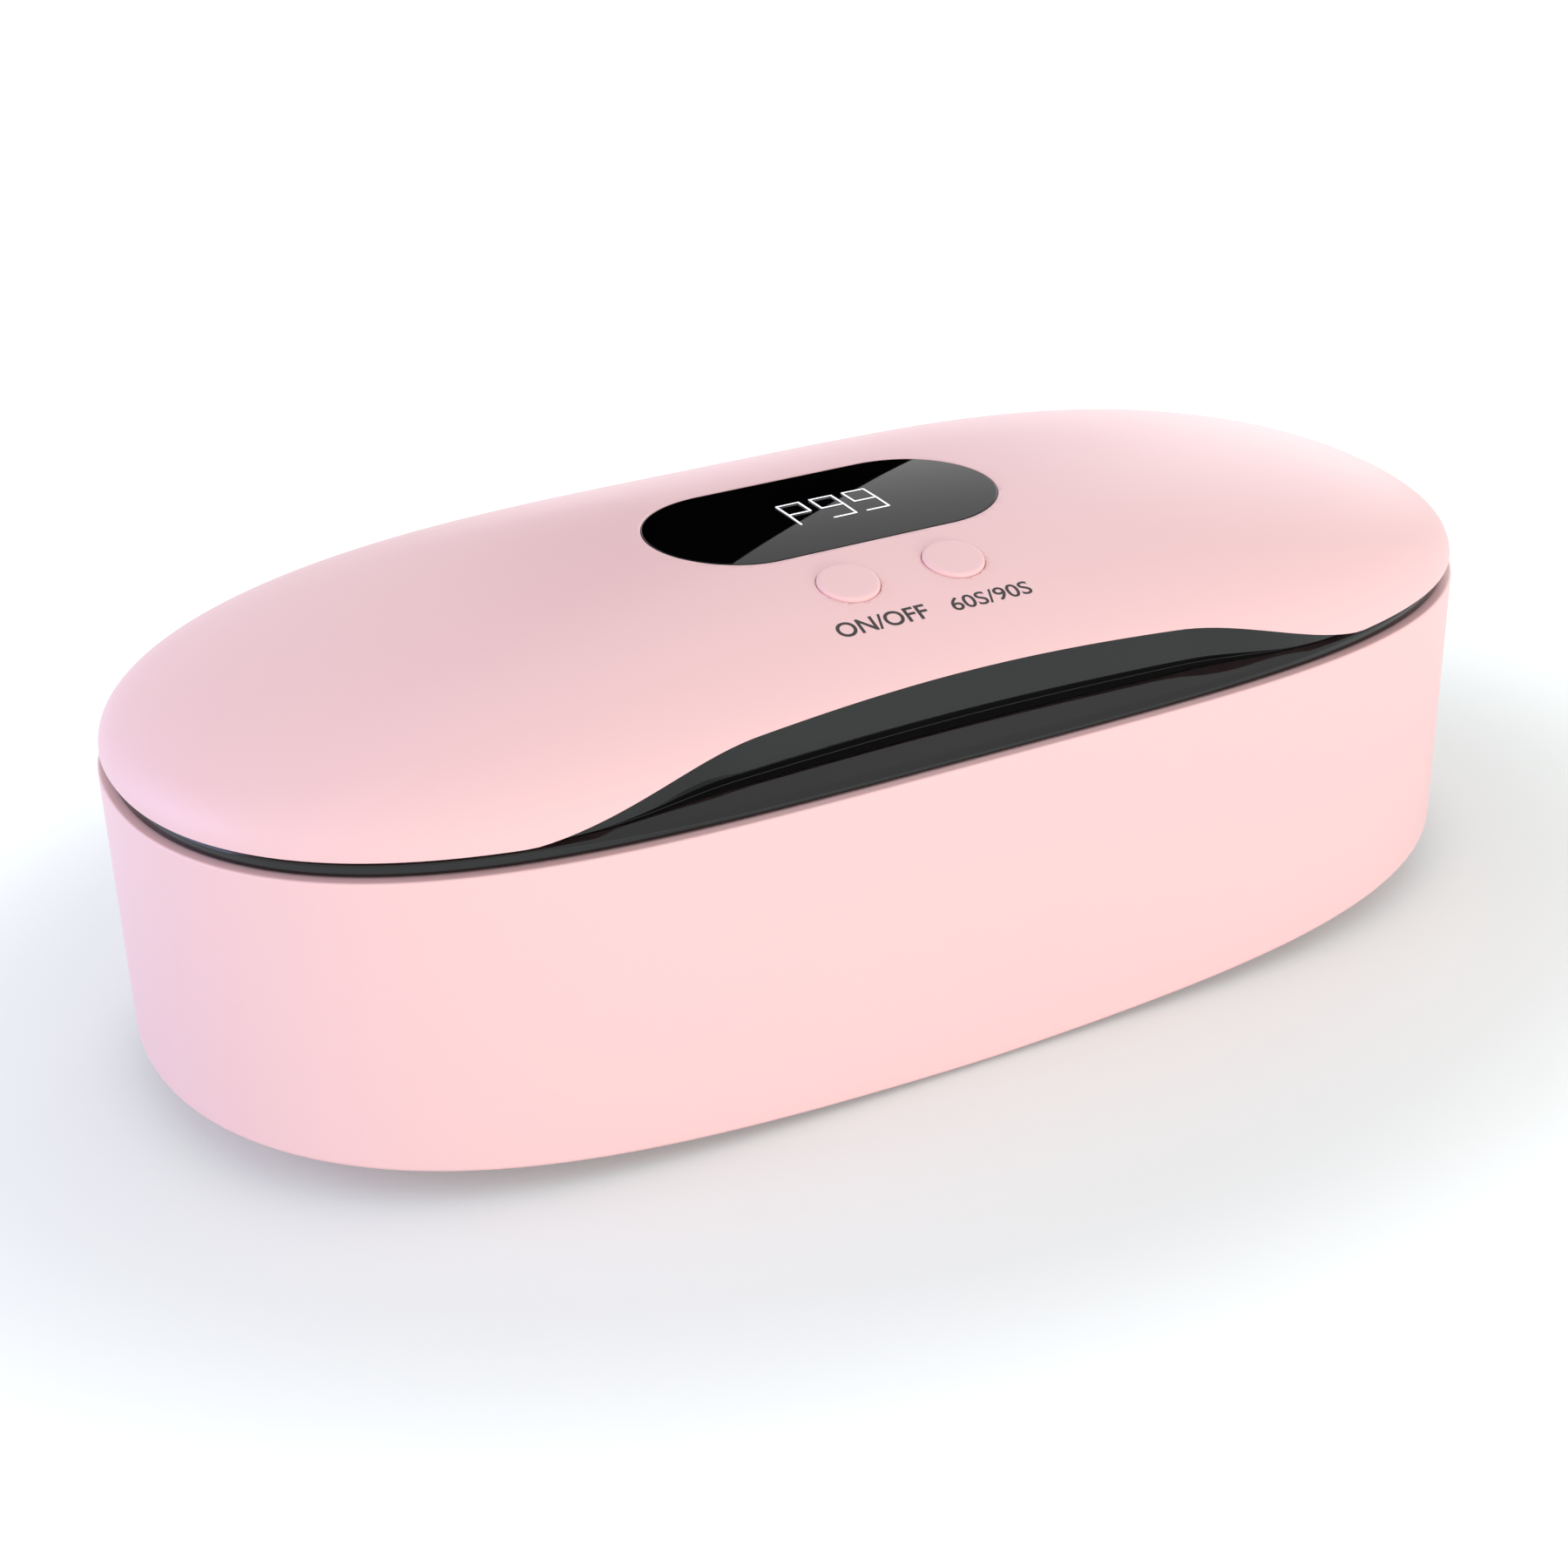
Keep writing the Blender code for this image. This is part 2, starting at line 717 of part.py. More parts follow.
def make_feet():
    sole = FOOT_RADIUS - FOOT_EDGE
    profile = [(0, 0), (sole, 0), (FOOT_RADIUS, FOOT_EDGE), (FOOT_RADIUS, foot_top()), (0, foot_top())]
    return [turned("foot_" + name, profile, 20, rubber(), (x, y)) for name, x, y in foot_places()]


def screw_profile(head_low, length):
    """Pan-head screw, head down."""
    head_high = head_low + SCREW_HEAD_HEIGHT
    return [
        (0, head_low),
        (SCREW_HEAD_RADIUS * 0.8, head_low),
        (SCREW_HEAD_RADIUS, head_low + SCREW_HEAD_HEIGHT / 3),
        (SCREW_HEAD_RADIUS, head_high),
        (SCREW_SHANK_RADIUS, head_high),
        (SCREW_SHANK_RADIUS, head_high + length),
        (0, head_high + length),
    ]


def make_bottom_screws():
    profile = screw_profile(bottom_face(BASE_POST_X), SCREW_LENGTH)
    return [turned("bottom_screw_" + name, profile, 12, steel(), (x, y)) for name, x, y in base_post_places()]


def make_tray():
    """White tray that lines the tub: a flange in the rim's rebate, sloping walls and a flat floor."""
    outer = WALL + CLEARANCE
    bend = TRAY_FLANGE
    foot = bend + TRAY_SLOPE
    under_flange = RIM_HEIGHT - REBATE_DEPTH + CLEARANCE
    profile = [
        (foot + TRAY_CORNER - TRAY_WALL, TRAY_UNDERSIDE),
        (foot - TRAY_WALL, TRAY_UNDERSIDE + TRAY_CORNER),
        (bend - TRAY_WALL, under_flange),
        (outer, under_flange),
        (outer, RIM_HEIGHT),
        (bend - TRAY_CORNER / 2, RIM_HEIGHT),
        (bend, RIM_HEIGHT - TRAY_CORNER / 2),
        (foot, TRAY_FLOOR_HEIGHT + TRAY_CORNER),
        (foot + TRAY_CORNER, TRAY_FLOOR_HEIGHT),
    ]
    rings = [[inset_point(c, *point) for c in COARSE_RIM] for point in profile]
    tray = capped_body("tray", rings, white_plastic())
    places = spots(base_post_places())
    low = bottom_inner_face(BASE_POST_X + POST_RADIUS) + CLEARANCE
    join(tray, many_cylinders("tray_posts", places, POST_RADIUS, low, TRAY_UNDERSIDE + TRAY_WALL / 2))
    hole_top = bottom_face(BASE_POST_X) + SCREW_HEAD_HEIGHT + SCREW_LENGTH + SCREW_RUNOUT
    cut(tray, many_cylinders("tray_post_holes", places, SCREW_HOLE_RADIUS, 0, hole_top, 12))
    return tray


def make_hand_mat():
    low = TRAY_FLOOR_HEIGHT + CLEARANCE
    outline = stadium(MAT_LENGTH, MAT_WIDTH, 10)
    return prism("hand_mat", outline, low, low + MAT_THICKNESS, silicone())


def cell_bottom():
    half = CELL_LENGTH / 2 + 2 * HOLDER_WALL
    return bottom_inner_face(half) + CLEARANCE + HOLDER_WALL + CLEARANCE


def make_battery_holder():
    """Cradle: a floor plate with a cheek at each end of the cells."""
    inner = CELL_LENGTH / 2 + CLEARANCE
    outer = inner + HOLDER_WALL
    floor_high = cell_bottom() - CLEARANCE
    floor_low = floor_high - HOLDER_WALL
    top = cell_bottom() + HOLDER_CHEEK
    outline = [
        (-outer, floor_low),
        (outer, floor_low),
        (outer, top),
        (inner, top),
        (inner, floor_high),
        (-inner, floor_high),
        (-inner, top),
        (-outer, top),
    ]
    half_width = CELL_PITCH / 2 + CELL_RADIUS
    return prism_along_y("battery_holder", outline, -half_width, half_width, switch_black())


def make_cells():
    made = []
    for side, name in ((-1, "battery_cell_front"), (1, "battery_cell_rear")):
        outline = circle(CELL_RADIUS, 20, (side * CELL_PITCH / 2, cell_bottom() + CELL_RADIUS), math.pi / 20)
        made.append(prism_along_x(name, outline, -CELL_LENGTH / 2, CELL_LENGTH / 2, cell_wrap()))
    return made


def port_height():
    """Height of the charging port's centre."""
    return CHARGE_BOARD_HEIGHT + BOARD_THICKNESS + CLEARANCE + PORT_HEIGHT / 2


def charge_board_back():
    return depth_at(CHARGE_BOARD_LENGTH / 2, WALL) - CLEARANCE


def charge_board_front():
    return charge_board_back() - CHARGE_BOARD_WIDTH


def make_charge_board():
    size = (CHARGE_BOARD_LENGTH, CHARGE_BOARD_WIDTH, BOARD_THICKNESS)
    middle = (0, charge_board_front() + CHARGE_BOARD_WIDTH / 2, CHARGE_BOARD_HEIGHT)
    return box("charge_board", size, middle, board_green())


def make_charge_port():
    """Metal receptacle: a round-ended sleeve, closed at the back, open through the wall."""
    back = HALF_DEPTH - CLEARANCE - PORT_DEPTH
    front = HALF_DEPTH - CLEARANCE
    bottom = front - PORT_SOCKET
    outer = stadium(PORT_WIDTH, PORT_HEIGHT)
    inner = stadium(PORT_WIDTH - 2 * PORT_WALL, PORT_HEIGHT - 2 * PORT_WALL)
    rings = []
    for outline, y in ((outer, back), (outer, front), (inner, front), (inner, bottom)):
        rings.append([Vector((x, y, z + port_height())) for x, z in outline])
    return capped_body("charge_port", rings, steel())


def magnet_places():
    """(name, x, y) of the closure magnets, near the front corners."""
    y = -depth_at(MAGNET_X, MAGNET_INSET)
    return [("left", -MAGNET_X, y), ("right", MAGNET_X, y)]


def make_base_magnets():
    high = RIM_HEIGHT - REBATE_DEPTH
    made = []
    for name, x, y in magnet_places():
        low = high - MAGNET_THICKNESS
        made.append(cylinder("base_magnet_" + name, MAGNET_RADIUS, low, high, 16, (x, y), magnet_nickel()))
    return made


# ---------------------------------------------------------------- lid
def dome_layer(name, top, bottom):
    """A slice of the middle of the dome between two depths."""
    limit = math.pi / 4
    rings = []
    last = LAYER_ROWS - 1 + CROWN_SHARE
    angles = [limit * (row + CROWN_SHARE) / last for row in range(LAYER_ROWS)]
    for below, order in ((top, angles), (bottom, reversed(angles))):
        for angle in order:
            rings.append([dome(c, angle, below) for c in RIM])
    return capped_body(name, rings)


def dome_room(name, below):
    """The room under the dome, down to the rim."""
    rings = []
    for row in range(DOME_ROWS):
        angle = math.pi / 2 * (row + CROWN_SHARE) / (DOME_ROWS - 1 + CROWN_SHARE)
        rings.append([dome(c, angle, below) for c in RIM])
    rings.append([Vector((p.x, p.y, RIM_HEIGHT)) for p in rings[-1]])
    return capped_body(name, rings)


def lid_post_places():
    return corners(LID_POST_X, depth_at(LID_POST_X, LID_POST_INSET))


def lens_outline(margin=0.0, segments=10):
    """The display lens in plan, grown by margin."""
    outline = stadium(LENS_LENGTH + 2 * margin, LENS_WIDTH + 2 * margin, segments)
    return [(x, y + LENS_Y) for x, y in outline]


def lens_body(name, margin, top, bottom, finish=None):
    """The lens outline between two depths of the dome."""
    body = prism(name, lens_outline(margin), LID_EDGE, LID_EDGE + 2 * DOME_RISE, finish)
    combine(body, dome_layer(name + "_layer", top, bottom), "INTERSECT")
    return body


def display_bosses():
    """(x, y) of the bosses that hold the display board."""
    inset = BOSS_MARGIN + BOSS_RADIUS
    x = DISPLAY_BOARD_LENGTH / 2 - inset
    y = DISPLAY_BOARD_WIDTH / 2 - inset
    return [(-x, LENS_Y - y), (x, LENS_Y - y), (-x, LENS_Y + y), (x, LENS_Y + y)]


def button_board_frame():
    """Like the button frames, midway between the buttons."""
    return dome_frame(0, BUTTON_Y)


def cover_body():
    """Domed shell whose lower edge follows the wave."""
    rings = []
    edges = [edge_angle(c) for c in RIM]
    for row in range(DOME_ROWS + 1):
        share = (row + CROWN_SHARE) / (DOME_ROWS + CROWN_SHARE)
        rings.append([dome(c, edge * share) for c, edge in zip(RIM, edges)])
    rings.append([level_point(c, edge, WALL, dome(c, edge).z) for c, edge in zip(RIM, edges)])
    for row in range(INNER_ROWS, -1, -1):
        share = (row + CROWN_SHARE) / (INNER_ROWS + CROWN_SHARE)
        rings.append([dome(c, lap_end(c, edge) * share, WALL) for c, edge in zip(RIM, edges)])
    return capped_body("lid_cover", rings, pink())


def make_lid_cover():
    """Pink cover: domed shell, lens pocket, button holes, screw posts and board bosses."""
    cover = cover_body()
    room = dome_room("boss_room", WALL / 2)
    high = LID_EDGE + DOME_RISE
    places = spots(lid_post_places())
    posts = many_cylinders("lid_posts", places, POST_RADIUS, FLANGE_HIGH + CLEARANCE, high)
    low = display_board_low() + BOARD_THICKNESS + CLEARANCE
    bosses = many_cylinders("display_bosses", display_bosses(), BOSS_RADIUS, low, high, 12)
    reach = BUTTON_BOARD_LENGTH / 2 - BOSS_MARGIN - BOSS_RADIUS
    low = button_board_top() + CLEARANCE
    button_bosses = many_cylinders("button_bosses", [(-reach, 0), (reach, 0)], BOSS_RADIUS, low, 0, 12)
    button_bosses.matrix_basis = button_board_frame()
    for tool in (posts, bosses, button_bosses):
        combine(tool, room, "INTERSECT")
        join(cover, tool)
    hole_top = FLANGE_LOW + SCREW_HEAD_HEIGHT + SCREW_LENGTH + SCREW_RUNOUT
    cut(cover, many_cylinders("lid_post_holes", places, SCREW_HOLE_RADIUS, 0, hole_top, 12))
    cut(cover, lens_body("lens_pocket", CLEARANCE, -WALL, LENS_THICKNESS + CLEARANCE))
    cut(cover, prism("display_window", lens_outline(-WINDOW_MARGIN, 8), LID_EDGE, LID_EDGE + 2 * DOME_RISE))
    for name, frame in button_frames():
        hole = cylinder(name + "_hole", BUTTON_RADIUS + CLEARANCE, -2 * WALL, 2 * WALL, 24)
        hole.matrix_basis = frame
        cut(cover, hole)
    half = BARREL_SPAN / 2 + SWING_CLEARANCE
    cut(cover, barrel_swing("cover_knuckle_notch", -half, half))
    return cover


def liner_profile(column):
    """Closed section of the lid liner: nose, shelf, cove wall, lap under the cover, flange."""
    share = scoop_share(column)
    edge = edge_angle(column)
    lip = dome(column, edge)
    lap = WALL + CLEARANCE
    back = lap + LINER_WALL
    under = lip.z - CLEARANCE
    wall = inset_of(column, lip) + COVE_LIP
    foot = wall + LINER_WALL + (lap - COVE_LIP) * (1 - share)
    shelf = RING_TOP + COVE_SHELF_RISE * share
    fillet = RING_STEP / 2 + COVE_FILLET * share
    ridge = wall - fillet - RING_SHELF - COVE_SHELF * share**2
    nose = RING_ROUND + COVE_NOSE * share
    nose_inset = RING_INSET + nose
    nose_drop = RING_ROUND + (RING_TOP - RING_ROUND - NOSE_LAND - FLANGE_LOW) * share
    nose_z = RING_TOP - nose_drop
    reach = math.hypot(ridge - nose_inset, shelf - nose_z)
    tangent = math.atan2(shelf - nose_z, ridge - nose_inset) + math.acos(min(nose / reach, 1))
    points = [inset_point(column, RING_INSET, FLANGE_LOW)]
    for step in range(3):
        turn = math.pi + (tangent - math.pi) * step / 2
        points.append(inset_point(column, nose_inset + nose * math.cos(turn), nose_z + nose * math.sin(turn)))
    points.append(inset_point(column, ridge, shelf))
    for degrees in (-90, -45, 0):
        turn = math.radians(degrees)
        across = wall - fillet + fillet * math.cos(turn)
        points.append(inset_point(column, across, shelf + fillet + fillet * math.sin(turn)))
    points.append(Vector((lip.x - COVE_LIP * column[2], lip.y - COVE_LIP * column[3], under)))
    points.append(level_point(column, edge, lap, under))
    points.append(dome(column, lap_end(column, edge), lap))
    points.append(dome(column, lap_end(column, edge), back))
    points.append(level_point(column, edge, back, under))
    points.append(inset_point(column, foot, shelf + fillet))
    points.append(inset_point(column, foot, FLANGE_HIGH))
    points.append(inset_point(column, LINER_FLANGE, FLANGE_HIGH))
    points.append(inset_point(column, LINER_FLANGE, FLANGE_LOW))
    return points


def make_lid_liner():
    """Glossy black liner: the ring in the parting gap, the finger scoop's cove and the lid knuckle."""
    sections = [liner_profile(c) for c in RIM]
    rings = [list(ring) for ring in zip(*sections)]
    liner = ring_body("lid_liner", rings, black_gloss())
    start = LID_KNUCKLE / 2 + KNUCKLE_GAP
    end = BARREL_SPAN / 2 + SWING_CLEARANCE
    cut(liner, barrel_swing("liner_notch_right", start, end))
    cut(liner, barrel_swing("liner_notch_left", -end, -start))
    join(liner, lid_knuckle())
    cut(liner, pin_bore("liner_pin_bore"))
    places = spots(lid_post_places())
    head_top = FLANGE_LOW + SCREW_HEAD_HEIGHT + CLEARANCE
    cut(liner, many_cylinders("lid_head_recesses", places, SCREW_HEAD_RADIUS + CLEARANCE, 0, head_top))
    cut(liner, many_cylinders("lid_screw_holes", places, SCREW_HOLE_RADIUS, 0, LID_EDGE, 12))
    return liner


def lid_knuckle():
    """Barrel between the tub's two, on an arm that runs into the ring."""
    half_arm = (RING_TOP - FLANGE_LOW - CLEARANCE) / 2
    start = math.pi - math.asin(half_arm / BARREL_RADIUS)
    arm_end = HALF_DEPTH - RING_INSET - LINER_WALL
    outline = []
    for step in range(13):
        angle = start * (step - 6) / 6
        outline.append((HINGE_Y + BARREL_RADIUS * math.cos(angle), HINGE_Z + BARREL_RADIUS * math.sin(angle)))
    outline += [(arm_end, HINGE_Z + half_arm), (arm_end, HINGE_Z - half_arm)]
    return prism_along_x("lid_knuckle", outline, -LID_KNUCKLE / 2, LID_KNUCKLE / 2)


def make_lid_screws():
    profile = screw_profile(FLANGE_LOW, SCREW_LENGTH)
    return [turned("lid_screw_" + name, profile, 12, steel(), (x, y)) for name, x, y in lid_post_places()]


def led_places():
    places = []
    for i in range(LED_COUNT_X):
        for j in range(LED_COUNT_Y):
            x = (i - (LED_COUNT_X - 1) / 2) * LED_PITCH_X
            y = (j - (LED_COUNT_Y - 1) / 2) * LED_PITCH_Y
            places.append((x, y))
    return places


def make_lid_plate():
    """White reflector plate that closes the lid, with a hole for each lamp."""
    high = PLATE_LOW + PLATE_THICKNESS
    plate = strip_plate("lid_plate", PLATE_INSET, lambda x: PLATE_LOW, lambda x: high, white_plastic())
    past = high + PLATE_THICKNESS
    cut(plate, many_cylinders("plate_led_holes", led_places(), LED_RADIUS + CLEARANCE, RIM_HEIGHT, past, 12))
    places = spots(lid_post_places())
    cut(plate, many_cylinders("plate_post_holes", places, POST_RADIUS + CLEARANCE, RIM_HEIGHT, past))
    return plate


def make_led_board():
    size = (LED_BOARD_LENGTH, LED_BOARD_WIDTH, BOARD_THICKNESS)
    return box("led_board", size, (0, 0, LED_BOARD_LOW), white_board())


def make_leds():
    """Lamp beads: a round body on the board and a dome that looks out of the plate."""
    high = LED_BOARD_LOW - CLEARANCE
    tip = PLATE_LOW - LED_PROUD
    shoulder = tip + LED_LENS_HEIGHT
    profile = [
        (0, tip),
        (LED_LENS_RADIUS * 0.6, tip + LED_LENS_HEIGHT * 0.2),
        (LED_LENS_RADIUS, shoulder),
        (LED_RADIUS, shoulder),
        (LED_RADIUS, high),
        (0, high),
    ]
    made = []
    for number, place in enumerate(led_places(), 1):
        made.append(turned(f"uv_led_{number:02d}", profile, 12, led_lens(), place))
    return made


def make_display_lens():
    return lens_body("display_lens", 0.0, 0.0, LENS_THICKNESS, black_glass())


def module_top():
    """Top of the display module, under the lens where the lens hangs lowest over it."""
    corner = dome_frame(MODULE_LENGTH / 2, LENS_Y - MODULE_WIDTH / 2).translation.z
    return corner - LENS_THICKNESS - 2 * CLEARANCE


def make_display_module():
    size = (MODULE_LENGTH, MODULE_WIDTH, MODULE_THICKNESS)
    return box("display_module", size, (0, LENS_Y, module_top() - MODULE_THICKNESS), switch_black())


def display_board_low():
    return module_top() - MODULE_THICKNESS - CLEARANCE - BOARD_THICKNESS


def make_display_board():
    size = (DISPLAY_BOARD_LENGTH, DISPLAY_BOARD_WIDTH, BOARD_THICKNESS)
    return box("display_board", size, (0, LENS_Y, display_board_low()), board_green())


def button_frames():
    return [
        ("power_button", dome_frame(-BUTTON_SPACING / 2, BUTTON_Y)),
        ("timer_button", dome_frame(BUTTON_SPACING / 2, BUTTON_Y)),
    ]


def flange_top():
    """Depth of the button's flange under the cover, in the button's own frame."""
    dip = (BUTTON_RADIUS + BUTTON_FLANGE) ** 2 / DEPTH  # the cover's curve over the flange
    return -(WALL + CLEARANCE + dip)


def stem_end():
    return flange_top() - BUTTON_FLANGE_THICKNESS - BUTTON_STEM


def make_button(name, frame):
    """Round cap with a retaining flange and a stem that reaches down to its switch."""
    flange = BUTTON_RADIUS + BUTTON_FLANGE
    flange_low = flange_top() - BUTTON_FLANGE_THICKNESS
    profile = [
        (0, stem_end()),
        (BUTTON_STEM_RADIUS, stem_end()),
        (BUTTON_STEM_RADIUS, flange_low),
        (flange, flange_low),
        (flange, flange_top()),
        (BUTTON_RADIUS, flange_top()),
        (BUTTON_RADIUS, 0),
        (BUTTON_RADIUS - BUTTON_EDGE / 4, BUTTON_PROUD * 3 / 4),
        (BUTTON_RADIUS - BUTTON_EDGE, BUTTON_PROUD),
        (0, BUTTON_PROUD),
    ]
    button = turned(name, profile, 24, pink())
    button.matrix_basis = frame
    return button


def nub_top():
    return stem_end() - BUTTON_TRAVEL - CLEARANCE


def make_switch(name, frame):
    """Tact switch: a square body with a raised nub."""
    body_top = nub_top() - SWITCH_NUB
    build = bmesh.new()
    half = SWITCH_SIZE / 2
    nub = SWITCH_NUB_SIZE / 2
    rings = []
    for reach, z in ((half, body_top - SWITCH_HEIGHT), (half, body_top), (nub, body_top), (nub, nub_top())):
        rings.append([Vector((x * reach, y * reach, z)) for x, y in ((-1, -1), (1, -1), (1, 1), (-1, 1))])
    add_rings(build, rings, closed_profile=False)
    switch = new_object(name, build, switch_black())
    switch.matrix_basis = frame
    return switch


def button_board_top():
    """Top of the board that carries both switches, in the button frames."""
    return nub_top() - SWITCH_NUB - SWITCH_HEIGHT - CLEARANCE


def make_button_board():
    size = (BUTTON_BOARD_LENGTH, BUTTON_BOARD_WIDTH, BOARD_THICKNESS)
    board = box("button_board", size, (0, 0, button_board_top() - BOARD_THICKNESS), board_green())
    board.matrix_basis = button_board_frame()
    return board


def make_lid_magnets():
    low = FLANGE_HIGH + CLEARANCE
    made = []
    for name, x, y in magnet_places():
        high = low + MAGNET_THICKNESS
        made.append(cylinder("lid_magnet_" + name, MAGNET_RADIUS, low, high, 16, (x, y), magnet_nickel()))
    return made


# ---------------------------------------------------------------- assembly
def clear_scene():
    for obj in list(bpy.data.objects):
        bpy.data.objects.remove(obj, do_unlink=True)


def loose_meshes():
    """Everything made since the last body, pieces and hidden helpers alike."""
    return [obj for obj in bpy.data.objects if obj.type == "MESH" and not obj.parent]


def build_base(frame):
    make_base_shell()
    make_base_bottom()
    make_tray()
    make_hand_mat()
    make_battery_holder()
    make_cells()
    make_charge_board()
    make_charge_port()
    make_hinge_pin()
    make_feet()
    make_bottom_screws()
    make_base_magnets()
    for obj in loose_meshes():
        hang(obj, frame)


def build_lid(frame):
    make_lid_cover()
    make_lid_liner()
    make_lid_plate()
    make_led_board()
    make_leds()
    make_display_lens()
    make_display_module()
    make_display_board()
    make_button_board()
    for name, place in button_frames():
        make_switch(name.replace("button", "switch"), place)
    make_lid_screws()
    make_lid_magnets()
    for obj in loose_meshes():
        hang(obj, frame)


def main():
    clear_scene()
    base = empty("base", PLACE)
    build_base(base)
    lid = empty("lid_hinge", Matrix.Translation((0, HINGE_Y, HINGE_Z)), base)
    build_lid(lid)
    for name, place in button_frames():
        guide = empty(name + "_guide", place, lid)
        hang(make_button(name, place), guide)


main()
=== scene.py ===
# %% [markdown]
# # A clamshell nail lamp
#
# The lamp is a closed box: a pink tub below, a pink domed lid above, and a glossy black liner that
# shows in the gap between them. A wave cut in the lid's front edge opens into a finger scoop.
#
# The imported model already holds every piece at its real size. Here the pieces that show get a fine
# surface and a finish. The fine surfaces use the same outline rule as the solids, so they lie on them.

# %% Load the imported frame
import json
import math

import bmesh
import bpy
import numpy as np
from mathutils import Matrix, Vector

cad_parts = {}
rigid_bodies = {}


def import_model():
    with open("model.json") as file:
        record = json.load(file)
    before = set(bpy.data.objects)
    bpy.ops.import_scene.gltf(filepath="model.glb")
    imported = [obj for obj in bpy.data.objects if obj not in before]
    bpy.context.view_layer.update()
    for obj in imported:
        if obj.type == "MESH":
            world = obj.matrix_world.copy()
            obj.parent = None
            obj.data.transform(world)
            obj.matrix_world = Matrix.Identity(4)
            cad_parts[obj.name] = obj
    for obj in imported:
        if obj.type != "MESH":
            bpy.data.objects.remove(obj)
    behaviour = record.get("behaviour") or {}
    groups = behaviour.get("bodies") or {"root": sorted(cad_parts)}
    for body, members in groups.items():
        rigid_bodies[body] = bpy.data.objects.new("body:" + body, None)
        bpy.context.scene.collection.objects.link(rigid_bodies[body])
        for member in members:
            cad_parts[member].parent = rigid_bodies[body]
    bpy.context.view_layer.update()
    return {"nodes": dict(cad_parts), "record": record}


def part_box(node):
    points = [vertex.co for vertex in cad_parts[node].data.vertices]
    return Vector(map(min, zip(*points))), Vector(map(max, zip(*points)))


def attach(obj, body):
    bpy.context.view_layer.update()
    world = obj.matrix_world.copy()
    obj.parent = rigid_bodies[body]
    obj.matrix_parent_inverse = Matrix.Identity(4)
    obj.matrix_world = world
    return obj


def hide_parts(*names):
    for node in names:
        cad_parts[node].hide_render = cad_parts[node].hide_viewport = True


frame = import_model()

nodes = frame["nodes"]

# %% [markdown]
# ## The outline
#
# Seen from above, the lamp is neither an ellipse nor a stadium. It is a superellipse, in which the
# power along the length is about four and the power across is about two. That keeps the long sides
# nearly straight and the ends round. One rule gives every ring of every shell, so tub, liner and
# lid follow each other at any inset.

# %% Read the sizes from the frame
END_POWER = 4.05
SIDE_POWER = 2.13
tub_low, tub_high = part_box("base_shell")
tray_low, tray_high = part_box("tray")
CENTRE_Y = (tray_low.y + tray_high.y) / 2
HALF_LENGTH = tub_high.x
HALF_DEPTH = CENTRE_Y - tub_low.y
RIM = tray_high.z
LIFT = tub_low.z
print(f"outline {2000 * HALF_LENGTH:.1f} x {2000 * HALF_DEPTH:.1f} mm, rim at {1000 * RIM:.1f} mm")


# %% Even columns round the outline
def outline_points(angle):
    cos, sin = np.cos(angle), np.sin(angle)
    x = HALF_LENGTH * np.sign(cos) * np.abs(cos) ** (2 / END_POWER)
    y = HALF_DEPTH * np.sign(sin) * np.abs(sin) ** (2 / SIDE_POWER)
    return x, y


def outline_columns(count):
    """Arrays x, y, normal x, normal y at evenly spaced points, anticlockwise from +X."""
    angle = np.linspace(0, 2 * math.pi, 40001)
    x, y = outline_points(angle)
    run = np.concatenate([[0], np.cumsum(np.hypot(np.diff(x), np.diff(y)))])
    x, y = outline_points(np.interp(np.arange(count) * run[-1] / count, run, angle))
    return (x, y, *outline_normal(x, y))


def outline_normal(x, y):
    along = END_POWER / HALF_LENGTH * (np.abs(x) / HALF_LENGTH) ** (END_POWER - 1) * np.sign(x)
    across = SIDE_POWER / HALF_DEPTH * (np.abs(y) / HALF_DEPTH) ** (SIDE_POWER - 1) * np.sign(y)
    size = np.hypot(along, across)
    return along / size, across / size


COLUMNS = 320
columns = outline_columns(COLUMNS)
apart = np.hypot(columns[0][1] - columns[0][0], columns[1][1] - columns[1][0])
print(f"{COLUMNS} columns, {1000 * apart:.2f} mm apart")


# %% [markdown]
# ## From a profile to a shell
#
# A shell is a profile carried round the outline. Each profile point is an inset from the outline
# and a height. Both may be arrays with one value per column, which is how the tub's lower edge can
# climb towards the ends and how the liner can open into the scoop.

# %% Sweep a profile round the outline
def ring(inset, z, cols=columns):
    """One ring of points: inset along the outline's normal, at height z."""
    x, y, nx, ny = cols
    z = np.broadcast_to(z, x.shape)
    return np.stack([x - inset * nx, CENTRE_Y + y - inset * ny, z], axis=1)


def rings_at(*spots):
    """Rings at pairs of an inset and a height."""
    return [ring(*spot) for spot in spots]


def place_object(name, data):
    obj = bpy.data.objects.new(name, data)
    bpy.context.scene.collection.objects.link(obj)
    return obj


def mesh_object(name, points, faces, body=None, material_slot=None, sharp=35):
    """A smooth-shaded mesh. With a body it is a piece that rides there; without, it is a helper."""
    mesh = bpy.data.meshes.new(name)
    mesh.from_pydata([tuple(p) for p in points], [], faces)
    mesh.validate()
    build = bmesh.new()
    build.from_mesh(mesh)
    bmesh.ops.recalc_face_normals(build, faces=build.faces)
    build.to_mesh(mesh)
    build.free()
    mesh.shade_smooth()
    mesh.set_sharp_from_angle(angle=math.radians(sharp))
    obj = place_object(name, mesh)
    if body:
        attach(obj, body)
        mesh.materials.append(LOOKS[material_slot])
    return obj


def ring_faces(rings, count, closed):
    faces = []
    for a in range(rings if closed else rings - 1):
        b = (a + 1) % rings
        for i in range(count):
            j = (i + 1) % count
            faces.append((a * count + i, a * count + j, b * count + j, b * count + i))
    return faces


